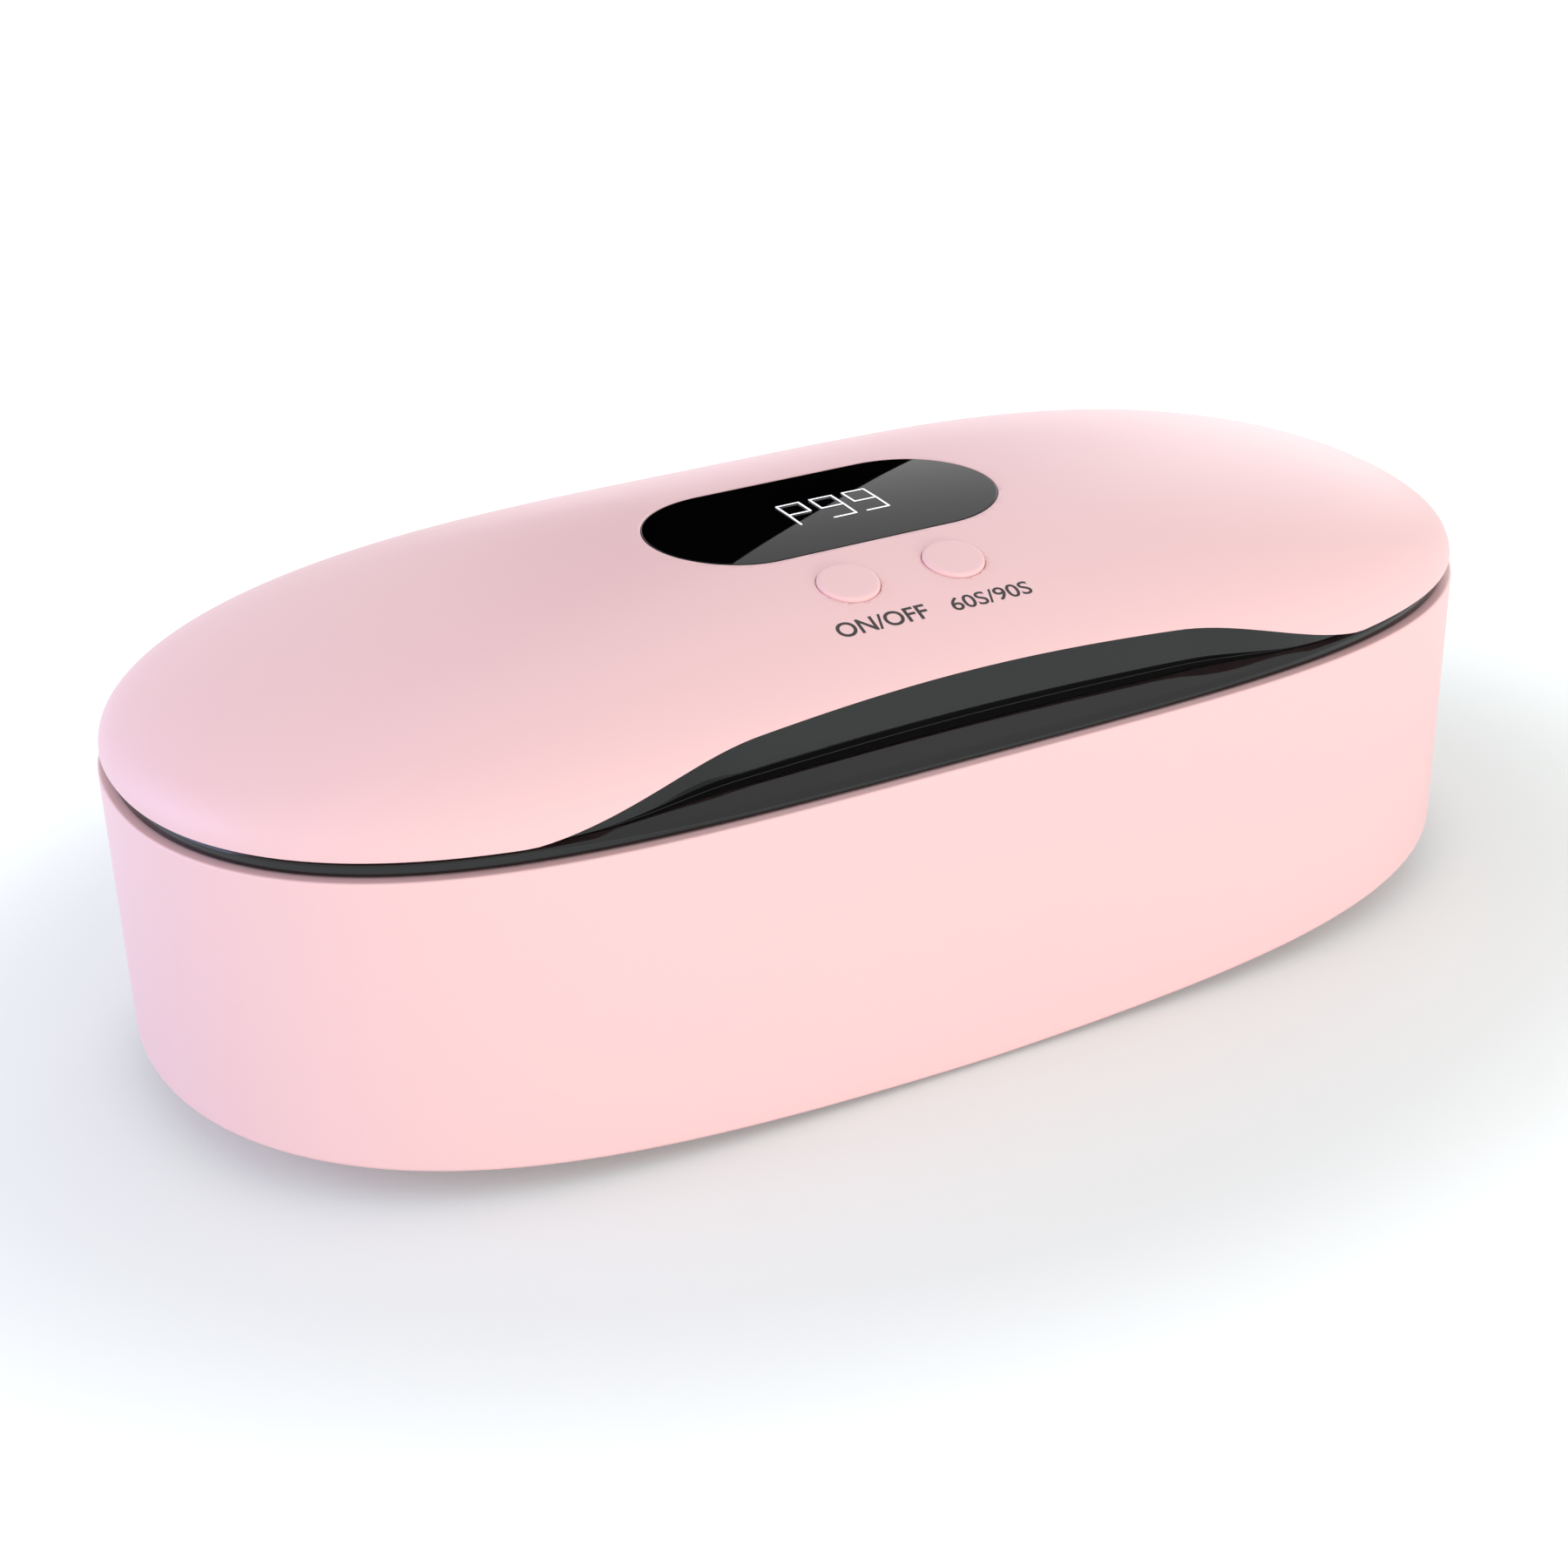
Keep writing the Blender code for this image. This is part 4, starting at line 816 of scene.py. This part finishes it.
def circle_outline(radius, steps=64, start=0, end=360):
    t = np.radians(np.linspace(start, end, steps, endpoint=end - start < 360))
    return [(HINGE_Y + radius * math.cos(a), HINGE_Z + radius * math.sin(a)) for a in t]


def hinge_room(name, start, end):
    return bar_along_x(name, circle_outline(SWING), start, end)


room = KNUCKLE_MIDDLE + GAP
cut_from(tub, hinge_room("tub_notch", -room, room))
cut_from(cover, hinge_room("cover_notch", -KNUCKLE_END - 0.0004, KNUCKLE_END + 0.0004))
for side in (-1, 1):
    ends = sorted((side * (room - 0.0002), side * (KNUCKLE_END + 0.0004)))
    cut_from(liner, hinge_room(f"liner_notch_{side}", *ends))
gusset = circle_outline(BARREL, 52, -35, 215) + [(BACK_FACE - WALL / 2, RIM - 0.009)]
for side, name in ((-1, "left"), (1, "right")):
    ends = sorted((side * room, side * KNUCKLE_END))
    bar_along_x("tub_barrel_" + name, gusset, *ends, "base", "pink_plastic", 0.0004)
half_arm = (RING_TOP - FLANGE_LOW - GAP) / 2
lean = math.degrees(math.asin(half_arm / BARREL))
arm_end = BACK_FACE - RING_INSET - LINER_WALL
arm = circle_outline(BARREL, 60, lean - 180, 180 - lean)
arm += [(arm_end, HINGE_Z + half_arm), (arm_end, HINGE_Z - half_arm)]
lid_barrel = bar_along_x("lid_barrel", arm, -KNUCKLE_MIDDLE, KNUCKLE_MIDDLE, "lid", "black_gloss", 0.0004)
bore = bar_along_x("pin_bore", circle_outline(BORE_RADIUS, 40), -2 * KNUCKLE_MIDDLE, 2 * KNUCKLE_MIDDLE)
cut_from(lid_barrel, bore)
pin = bar_along_x("pin", circle_outline(PIN_RADIUS, 40), pin_low.x, pin_high.x, "base", "steel", 0.0003)
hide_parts("hinge_pin")
print(f"hinge axis at y {1000 * HINGE_Y:.1f}, z {1000 * HINGE_Z:.2f} mm")

# %% [markdown]
# ## The charging port
#
# The port is a drawn steel sleeve with round ends. A black tongue with contacts stands in it. The
# mouth in the tub wall has the same shape, a little larger.

# %% Port, tongue and mouth
port_low, port_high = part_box("charge_port")
PORT_Z = (port_low.z + port_high.z) / 2
PORT_WIDTH = port_high.x - port_low.x
PORT_HEIGHT = port_high.z - port_low.z


def slot_ring(width, height, y, steps=24):
    plan = stadium(width, height, steps)
    return np.column_stack([plan[:, 0], np.full(len(plan), y), plan[:, 1] + PORT_Z])


def port_rings(spots):
    """Rings that grow past the port's outline by a margin. The spots are (margin, y)."""
    return [slot_ring(PORT_WIDTH + 2 * grow, PORT_HEIGHT + 2 * grow, y) for grow, y in spots]


def make_port():
    back, front, wall, edge = port_low.y, port_high.y, 0.0004, 0.0001
    spots = [(0, back), (0, front - edge), (-edge, front)]
    spots += [(edge - wall, front), (-wall, front - edge), (-wall, front - 0.0055)]
    return swept("port_sleeve", port_rings(spots), "base", "steel")


port = make_port()
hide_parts("charge_port")
TONGUE = ((0.0066, 0.0007, 0.0056), (0.0066, 0.0007, 0.0011), (0.0062, 0.0004, 0.0008))
tongue_rings = [slot_ring(width, height, port_high.y - sunk, 10) for width, height, sunk in TONGUE]
swept("port_tongue", tongue_rings, "base", "switch_black")
mouth = [
    (0.0006, BACK_FACE - 3 * WALL), (0.0006, BACK_FACE - 0.0003),
    (0.0010, BACK_FACE + 0.0001), (0.0014, BACK_FACE + WALL),
]
cut_from(tub, swept("port_mouth_cutter", port_rings(mouth)))
print(f"port {1000 * PORT_WIDTH:.1f} x {1000 * PORT_HEIGHT:.1f} mm")

# %% [markdown]
# ## The tray and the mat
#
# The tray is a shallow white bath that hangs from the tub's rim. All its corners are rounded, so it
# wipes clean. The mat on its floor is silicone, with shallow grooves that keep a hand from sliding.

# %% Tray and posts
mat_low, mat_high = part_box("hand_mat")
TRAY_FLOOR = mat_low.z - GAP
POST_FOOT = 0.0024
POST_TALL = 0.0195


def make_tray():
    """From the underside of the floor up the outside, over the rim and down the inside."""
    rings = rings_at((0.0174, TRAY_FLOOR - 0.0016), (0.0154, TRAY_FLOOR + 0.0004))
    rings += rings_at((0.0104, RIM - 0.0017), (0.0027, RIM - 0.0017), (0.0027, RIM - 0.0002))
    rings += rings_at((0.0029, RIM), (0.0032, RIM), (0.0095, RIM))
    rings += arc_rings(0.0100, RIM - 0.0018, 0.0018, 90, 14, 8)
    for step in (0.1, 0.5, 0.9):
        rings.append(ring(0.01175 + 0.0044 * step, between(RIM - 0.0014, TRAY_FLOOR + 0.0024, step)))
    rings += arc_rings(0.0190, TRAY_FLOOR + 0.0028, 0.0028, 194, 270, 8)
    rings.append(ring(0.0200, TRAY_FLOOR))
    return swept("hand_tray", rings, "base", "white_plastic", sharp=50)


def flat_ring(plan, x, y, z):
    return np.column_stack([plan[:, 0] + x, plan[:, 1] + y, np.full(len(plan), z)])


def turned_piece(name, profile, place, body=None, material_slot=None, steps=48):
    """A body turned about Z at a place. The profile is a list of (radius, height)."""
    x, y, z = place
    rings = [flat_ring(disc(radius, steps), x, y, z + height) for radius, height in profile]
    return swept(name, rings, body, material_slot, sharp=40)


def join_meshes(target, others):
    """Puts other pieces' meshes into one piece."""
    build = bmesh.new()
    for piece in [target, *others]:
        build.from_mesh(piece.data)
    build.to_mesh(target.data)
    build.free()
    for piece in others:
        bpy.data.objects.remove(piece)
    return target


def node_spot(name):
    low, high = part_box(name)
    return (low.x + high.x) / 2, (low.y + high.y) / 2


tray = make_tray()
posts = []
for number, name in enumerate(n for n in nodes if n.startswith("bottom_screw")):
    place = (*node_spot(name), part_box(name)[0].z + POST_FOOT)
    post = [(0.003, 0), (0.003, POST_TALL)]
    posts.append(turned_piece(f"tray_post_{number}", post, place, "base", "white_plastic", 24))
join_meshes(tray, posts)
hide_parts("tray")
print("tray floor at", round(1000 * TRAY_FLOOR, 1), "mm")


# %% Mat with grooves
MAT_EDGE = 0.0022
GROOVE_PITCH = 0.0031
GROOVE = ((0, 0), (0.00015, -0.00025), (0.00045, -0.00025), (0.0006, 0))


def make_mat():
    length, width, thick = mat_high - mat_low
    profile = [(0.0003, 0), (0, 0.0003), (0, thick - 0.0005), (0.00015, thick - 0.00015), (0.0005, thick)]
    for inset in np.arange(MAT_EDGE, width / 2 - MAT_EDGE, GROOVE_PITCH):
        profile += [(inset + across, thick + deep) for across, deep in GROOVE]
    profile.append((width / 2 - 0.0008, thick))
    rings = []
    for inset, height in profile:
        plan = stadium(length - 2 * inset, width - 2 * inset, 32)
        rings.append(flat_ring(plan, 0, CENTRE_Y, mat_low.z + height))
    return swept("palm_mat", rings, "base", "grey_silicone", sharp=60)


mat = make_mat()
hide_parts("hand_mat")
print("mat has", len(mat.data.polygons), "faces")

# %% [markdown]
# ## Lamps in the lid
#
# Inside the lid a white plate throws the light down. Each lamp bead looks out of a hole with a
# flared edge. A bead is a round metal body with a clear dome, and the yellow chip shows through.
# One bead mesh serves for all of them.

# %% Reflector plate
plate_low, plate_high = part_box("lid_plate")
bead_names = sorted(n for n in nodes if n.startswith("uv_led"))


def many_cutters(name, centres, profile, steps=48):
    """One cutter with a turned hole at the middle of each named solid."""
    pieces = []
    for number, centre in enumerate(centres):
        pieces.append(turned_piece(f"{name}_{number}", profile, (*node_spot(centre), 0), steps=steps))
    return join_meshes(pieces[0], pieces[1:])


PLATE_INSET = 0.0098


def make_plate():
    spots = [(0.0002, plate_high.z), (0, plate_high.z - 0.0002), (0, plate_low.z + 0.0004)]
    spots += [(0.0001, plate_low.z + 0.0001), (0.0004, plate_low.z), (0.0040, plate_low.z)]
    rings = [ring(PLATE_INSET + more, z) for more, z in spots]
    return swept("reflector_plate", rings, "lid", "white_plastic")


plate = make_plate()
flare = [(0.0036, -0.0006), (0.0034, -0.0001), (0.0031, 0.0001), (0.0027, 0.0005)]
flare = [(radius, plate_low.z + height) for radius, height in flare]
flare.append((0.0027, plate_high.z + 0.0010))
cut_from(plate, many_cutters("lamp_holes", bead_names, flare))
lid_screws = sorted(n for n in nodes if n.startswith("lid_screw"))
post_hole = [(0.0033, plate_low.z - 0.0010), (0.0033, plate_high.z + 0.0010)]
cut_from(plate, many_cutters("post_holes", lid_screws, post_hole))
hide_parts("lid_plate")
print(len(bead_names), "lamp holes")


# %% Lamp beads
def flat_distance(tree, stretch=1):
    """Distance from an object's own Z axis. A stretch makes Y count for more."""
    place = node(tree, "TexCoord").outputs["Object"]
    flat = node(tree, "VectorMath", {0: place, 1: (1, stretch, 0)}, operation="MULTIPLY").outputs[0]
    return node(tree, "VectorMath", {0: flat}, operation="LENGTH").outputs["Value"]


def soft_step(tree, value, start, end, low=0.0, high=1.0):
    """Runs from low to high between two values, without corners."""
    sources = {"Value": value, "From Min": start, "From Max": end, "To Min": low, "To Max": high}
    return node(tree, "MapRange", sources, interpolation_type="SMOOTHSTEP").outputs["Result"]


CHIP_RADIUS = 0.0010
CHIP_BLUR = 0.00015


def bead_finish():
    """A glossy dome: yellow chip in the middle, silver cup round it."""
    made = finish(
        "lamp_bead", linear(236, 232, 222), linear(214, 210, 204), 0.05,
        share=0.6, patch=700, bump=0.0, coat=0.6,
    )
    tree = made.node_tree
    cup = soft_step(tree, flat_distance(tree), CHIP_RADIUS - CHIP_BLUR, CHIP_RADIUS + CHIP_BLUR)
    colour = colour_mix(tree, cup, linear(238, 206, 92), group_colour(tree))
    link(tree, colour, tree.nodes["Principled BSDF"].inputs["Base Color"])
    return made


bead_low, bead_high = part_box(bead_names[0])
BEAD_RADIUS = 0.0020
BEAD_RISE = 0.0017
profile = [(0.0024, bead_high.z - bead_low.z), (0.0024, BEAD_RISE + 0.0001)]
profile += [(0.0023, BEAD_RISE), (0.00205, BEAD_RISE)]
for t in np.radians(range(0, 90, 10)):
    profile.append((BEAD_RADIUS * math.cos(t), BEAD_RISE * (1 - math.sin(t))))
LOOKS["led_lens"] = bead_finish()
first = turned_piece("bead", profile, (0, 0, 0), steps=40)
first.data.materials.append(LOOKS["led_lens"])
for number, name in enumerate(bead_names, 1):
    bead = place_object(f"lamp_bead_{number:02d}", first.data)
    bead.location = (*node_spot(name), bead_low.z)
    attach(bead, "lid")
    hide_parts(name)
bpy.data.objects.remove(first)
print(len(profile), "rings in each bead")

# %% [markdown]
# ## Screws and feet
#
# Pan-head screws with a cross recess hold the bottom cover and the lid's liner. Their heads sit in
# recesses. Four rubber feet stand out of the bottom cover.

# %% Screws with a cross recess
HEAD_RADIUS = 0.0024
HEAD_HEIGHT = 0.0010
SHANK_RADIUS = 0.0010
SHANK_LENGTH = 0.0060
THREAD_DEPTH = 0.00022
THREAD_TURNS = 9


def make_screw(name):
    profile = [(0.0004, 0), (0.0014, 0.00005), (0.0020, 0.0002), (0.0023, 0.00045)]
    profile += [(HEAD_RADIUS, 0.0007), (HEAD_RADIUS, HEAD_HEIGHT), (SHANK_RADIUS, HEAD_HEIGHT)]
    for turn in range(THREAD_TURNS):
        z = HEAD_HEIGHT + 0.0002 + (SHANK_LENGTH - 0.0008) * turn / THREAD_TURNS
        profile += [(SHANK_RADIUS - THREAD_DEPTH, z), (SHANK_RADIUS, z + 0.00028)]
    tip = HEAD_HEIGHT + SHANK_LENGTH
    profile += [(SHANK_RADIUS - THREAD_DEPTH, tip - 0.0005), (0.0003, tip)]
    screw = turned_piece(name, profile, (0, 0, 0), steps=40)
    screw.data.materials.append(steel)
    return screw


def cross_cutter():
    """Two crossed wedges, wide at the face and narrow inside."""
    wedges = []
    for name, turned in (("cross_recess", False), ("cross_wedge", True)):
        rings = []
        for reach, half, z in ((0.0013, 0.0003, -0.0005), (0.0006, 0.0002, 0.0007)):
            corners = np.array([(-reach, -half), (reach, -half), (reach, half), (-reach, half)])
            if turned:
                corners = corners[:, ::-1] * (-1, 1)
            rings.append(flat_ring(corners, 0, 0, z))
        wedges.append(swept(name, rings))
    return join_meshes(wedges[0], wedges[1:])


def applied(obj):
    """The object's mesh with its modifiers worked in."""
    graph = bpy.context.evaluated_depsgraph_get()
    return bpy.data.meshes.new_from_object(obj.evaluated_get(graph))


pattern = make_screw("screw_pattern")
recess = cross_cutter()
cut_from(pattern, recess).use_self = True
screw_mesh = applied(pattern)
for obj in (pattern, recess):
    bpy.data.objects.remove(obj)
screw_names = sorted(n for n in nodes if "_screw_" in n)
for number, name in enumerate(screw_names):
    screw = place_object(name + "_fine", screw_mesh)
    screw.location = (*node_spot(name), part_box(name)[0].z)
    screw.rotation_euler = (0, 0, math.radians(37 * number))
    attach(screw, "base" if name.startswith("bottom") else "lid")
    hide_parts(name)
seat = FLANGE_LOW + 0.0013
heads = [(0.0027, 0), (0.0027, seat), (0.0011, seat), (0.0011, FLANGE_HIGH + 0.0010)]
cut_from(liner, many_cutters("screw_seats", lid_screws, heads, 32))
print(len(screw_names), "screws,", len(screw_mesh.polygons), "faces each")

# %% Rubber feet
FOOT_ROUNDING = 0.0006
for name in sorted(n for n in nodes if n.startswith("foot_")):
    low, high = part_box(name)
    radius, tall = (high.x - low.x) / 2, high.z - low.z
    flat = radius - FOOT_ROUNDING
    profile = [(0.0004, 0.0002), (radius - 0.0018, 0.0002), (radius - 0.0015, 0), (flat, 0)]
    for t in np.radians(range(15, 91, 15)):
        profile.append((flat + FOOT_ROUNDING * math.sin(t), FOOT_ROUNDING * (1 - math.cos(t))))
    profile += [(radius, tall - 0.0001), (radius - 0.0001, tall)]
    foot = turned_piece(name + "_fine", profile, (*node_spot(name), low.z), "base", "rubber", 64)
    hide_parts(name)
print("feet ready")

# %% [markdown]
# ## Printing
#
# The two words under the buttons are printed in dark ink. Text starts as a font curve, is turned
# into a mesh, and then each of its points is laid on the dome. That way the letters follow the lid
# like real pad printing.

# %% Words on the dome
def printed_word(name, words, centre, length, height, thin=0.004):
    curve = bpy.data.curves.new(name, "FONT")
    curve.body = words
    curve.align_x = "CENTER"
    curve.align_y = "CENTER"
    curve.size = 1
    curve.offset = thin
    curve.resolution_u = 6
    source = place_object(name + "_curve", curve)
    mesh = applied(source)
    bpy.data.objects.remove(source)
    flat = np.array([v.co for v in mesh.vertices])[:, :2]
    low, high = flat.min(axis=0), flat.max(axis=0)
    flat = (flat - (low + high) / 2) / (high - low) * (length, height)
    _, along, up_slope, _ = dome_axes(*centre)
    plan = np.array(centre) + flat[:, :1] * along[:2] + flat[:, 1:] * up_slope[:2]
    laid = on_dome(plan, -0.00002)
    for vert, spot in zip(mesh.vertices, laid):
        vert.co = spot
    word = place_object(name, mesh)
    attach(word, "lid")
    mesh.materials.clear()
    mesh.materials.append(ink)


printed_word("word_power", "ON/OFF", (-0.0084, -0.0362), 0.0145, 0.0030, 0.016)
printed_word("word_timer", "60S/90S", (0.0093, -0.0363), 0.0131, 0.00275, 0.010)
print("words printed")

# %% [markdown]
# ## The digits
#
# The display shows through the window as thin white strokes. Seven segments make a digit, and the
# list of lit segments makes the reading. Each stroke is a thin strip laid on the window.

# %% Seven-segment digits
def glow_finish():
    """White light that wanders a little towards a bluer tint, in fine patches."""
    made = finish(
        "digit_light", linear(240, 240, 242), linear(220, 224, 232), 0.3, share=0.5, patch=900, bump=0.0
    )
    tree = made.node_tree
    shader = tree.nodes["Principled BSDF"]
    feed(tree, shader, {"Emission Color": group_colour(tree), "Emission Strength": 0.75})
    return made


DIGIT_WIDTH = 0.0037
DIGIT_HEIGHT = 0.0078
DIGIT_PITCH = 0.0056
STROKE = 0.00031
SEGMENTS = {
    "top": ((0, 1), (1, 1)), "middle": ((0, 0.5), (1, 0.5)), "bottom": ((0, 0), (1, 0)),
    "upper_left": ((0, 0.5), (0, 1)), "lower_left": ((0, 0), (0, 0.5)),
    "upper_right": ((1, 0.5), (1, 1)), "lower_right": ((1, 0), (1, 0.5)),
}
NINE = ("top", "upper_left", "middle", "upper_right", "lower_right", "bottom")
READING = (("lower_left", "upper_left", "top", "upper_right", "middle"), NINE, NINE)


def strip(start, end, width, steps=14):
    """Outline of a stroke with round ends."""
    along = (end - start) / np.linalg.norm(end - start)
    across = np.array([-along[1], along[0]])
    out = []
    for spot, turn in ((end, -math.pi / 2), (start, math.pi / 2)):
        for t in np.linspace(turn, turn + math.pi, steps):
            out.append(spot + width / 2 * (math.cos(t) * along + math.sin(t) * across))
    return np.array(out)


def make_digits(centre):
    strokes = []
    for place, lit in enumerate(READING):
        corner = np.array(centre) + ((place - 1) * DIGIT_PITCH - DIGIT_WIDTH / 2, -DIGIT_HEIGHT / 2)
        for segment in lit:
            start, end = (corner + np.array(spot) * (DIGIT_WIDTH, DIGIT_HEIGHT) for spot in SEGMENTS[segment])
            plan = strip(start, end, STROKE)
            rings = [on_dome(plan, 0.00002), on_dome(plan, -0.00002)]
            strokes.append(swept("display_digits", rings, "lid", "led_lens"))
    return join_meshes(strokes[0], strokes[1:])


digits = make_digits((0.0012, -0.0051))
digits.data.materials[0] = glow_finish()
print(sum(len(lit) for lit in READING), "strokes lit")

# %% Even out the shading of the cut pieces
even_shading(plate, liner, tub, cover, lid_barrel)
print("shading evened on the cut pieces")

# %% [markdown]
# ## Camera
#
# The camera stands in front and to the left, a little above the lamp. Its axes are written out,
# so that the lens looks along the lamp exactly and the small roll is kept.

# %% Place the camera
camera_data = bpy.data.cameras.new("camera")
camera = place_object("camera", camera_data)
right = Vector((0.88137592, -0.47183235, -0.02346732))
up = Vector((0.2307269, 0.38658336, 0.89292687))
right.normalize()
back = right.cross(up).normalized()
up = back.cross(right)
turn = Matrix((right, up, back)).transposed().to_4x4()
camera.matrix_world = Matrix.Translation((-0.176062, -0.323699 + CENTRE_Y, 0.210790)) @ turn
camera_data.lens = 59.97
camera_data.sensor_width = 36
camera_data.shift_x = 0.00475
camera_data.shift_y = -0.003475
camera_data.clip_start = 0.01
camera_data.dof.use_dof = False
bpy.context.scene.camera = camera
print("camera at", [round(v, 3) for v in camera.location])

# %% [markdown]
# ## Floor and air
#
# The floor is white and keeps the shadow. Its own light, which only the camera and mirrors see, is weak
# near the lamp, so it paints a darker halo of shade round the lamp on top of the real shadow; further
# out it grows, so the floor runs into the white air without an edge. The air is white
# where the camera or a gloss surface sees it, and a little softer as a light.

# %% Floor
def seen_in_picture(tree):
    """1 for the camera's and the mirrors' rays, 0 for those that only carry light."""
    path = node(tree, "LightPath").outputs
    return math_node(tree, "MAXIMUM", path["Is Camera Ray"], path["Is Glossy Ray"])


def staged_panel(name, corners, look):
    """A flat panel of the stage, with four corners."""
    mesh = bpy.data.meshes.new(name)
    mesh.from_pydata(corners, [], [(0, 1, 2, 3)])
    mesh.materials.append(look)
    panel = place_object(name, mesh)
    return panel


FLOOR_HALF = 6
FLOOR_STRETCH = 1.4
GLOW_PLACES = (0.125, 0.20)
GLOW_VALUES = (0.12, 0.42)


def make_floor():
    made, tree, shader = new_material("floor_white")
    # Painted shade: the floor's own light is weaker near the lamp, which darkens a halo round it.
    glow = soft_step(tree, flat_distance(tree, FLOOR_STRETCH), *GLOW_PLACES, *GLOW_VALUES)
    shown = math_node(tree, "MULTIPLY", seen_in_picture(tree), glow)
    feed(tree, shader, {
        "Base Color": (0.775, 0.83, 0.82, 1), "Roughness": 0.9, "Specular IOR Level": 0.0,
        "Emission Color": (1, 1, 1, 1), "Emission Strength": shown,
    })
    corners = [(FLOOR_HALF * a, FLOOR_HALF * b, 0) for a, b in ((-1, -1), (1, -1), (1, 1), (-1, 1))]
    staged_panel("floor", corners, made)


make_floor()
print("floor ready")


# %% Air
def make_world(light):
    world = bpy.data.worlds.new("studio")
    bpy.context.scene.world = world
    world.use_nodes = True
    tree = world.node_tree
    strength = node(tree, "Mix", {0: seen_in_picture(tree), 2: light, 3: 1.0}).outputs[0]
    feed(tree, tree.nodes["Background"], {"Color": (1, 1, 1, 1), "Strength": strength})


make_world(0.80)
print("air ready")

# %% [markdown]
# ## Lamps
#
# The white air gives most of the light. A low strip in front lifts the wall; mirror rays don't see
# it, so it draws no line in the black gloss. A low strip behind brightens the rear edge of the top.
# Two small panels open the right end, and a cool panel on the left tints that end lavender.

# %% Lamps
def area_lamp(name, place, size, power, colour=(1, 1, 1), target=(0, 0, 0.03)):
    data = bpy.data.lights.new(name, "AREA")
    data.shape = "RECTANGLE"
    data.size, data.size_y = size
    data.energy = power
    data.color = colour
    lamp = place_object(name, data)
    lamp.location = place
    lamp.rotation_euler = (Vector(target) - Vector(place)).to_track_quat("-Z", "Y").to_euler()
    return lamp


front = area_lamp("front_strip", (0.12, -1.0, 0.12), (0.9, 0.22), 4.5, (1.0, 0.94, 0.87))
front.visible_glossy = False
area_lamp("back_strip", (0.75, 1.1, 0.10), (0.9, 0.2), 1.25, (0.97, 0.9, 1.0))
area_lamp("right_panel", (1.05, 0.0, 0.30), (0.5, 0.5), 0.25)
area_lamp("back_right_panel", (0.9, 0.7, 0.35), (0.5, 0.5), 1.0)
area_lamp("cool_panel", (-1.0, 0.4, 0.25), (0.9, 0.8), 6.1, (0.47, 0.53, 1.0))
print("lamps ready")

# %% [markdown]
# ## A dark card
#
# Gloss black shows only what it mirrors. A dark card behind the lamp is mirrored in the left part
# of the window, and its slanted edge draws a straight line across the glass. Only mirror rays see
# the card, so it casts no shadow and never shows itself.

# %% Card for the reflection
def make_card():
    made, tree, shader = new_material("card_black")
    feed(tree, shader, {"Base Color": (0, 0, 0, 1), "Specular IOR Level": 0.0})
    away = 0.9
    corners = [(0.22, away, 0.16), (0.596, away, 0.16), (0.389, away, 0.93), (0.22, away, 0.93)]
    card = staged_panel("dark_card", corners, made)
    for kind in ("camera", "diffuse", "transmission", "volume_scatter", "shadow"):
        setattr(card, "visible_" + kind, False)


make_card()
print("card ready")

# %% [markdown]
# ## Close the scene
#
# The scene's colours are shown as they are, and each solid of the model gets the finish of its slot.

# %% Finish
bpy.context.scene.view_settings.view_transform = "Standard"
slots = {part["node"]: part["material_slot"] for part in frame["record"]["subparts"]}
for name, obj in nodes.items():
    obj.data.materials.clear()
    obj.data.materials.append(LOOKS[slots[name]])
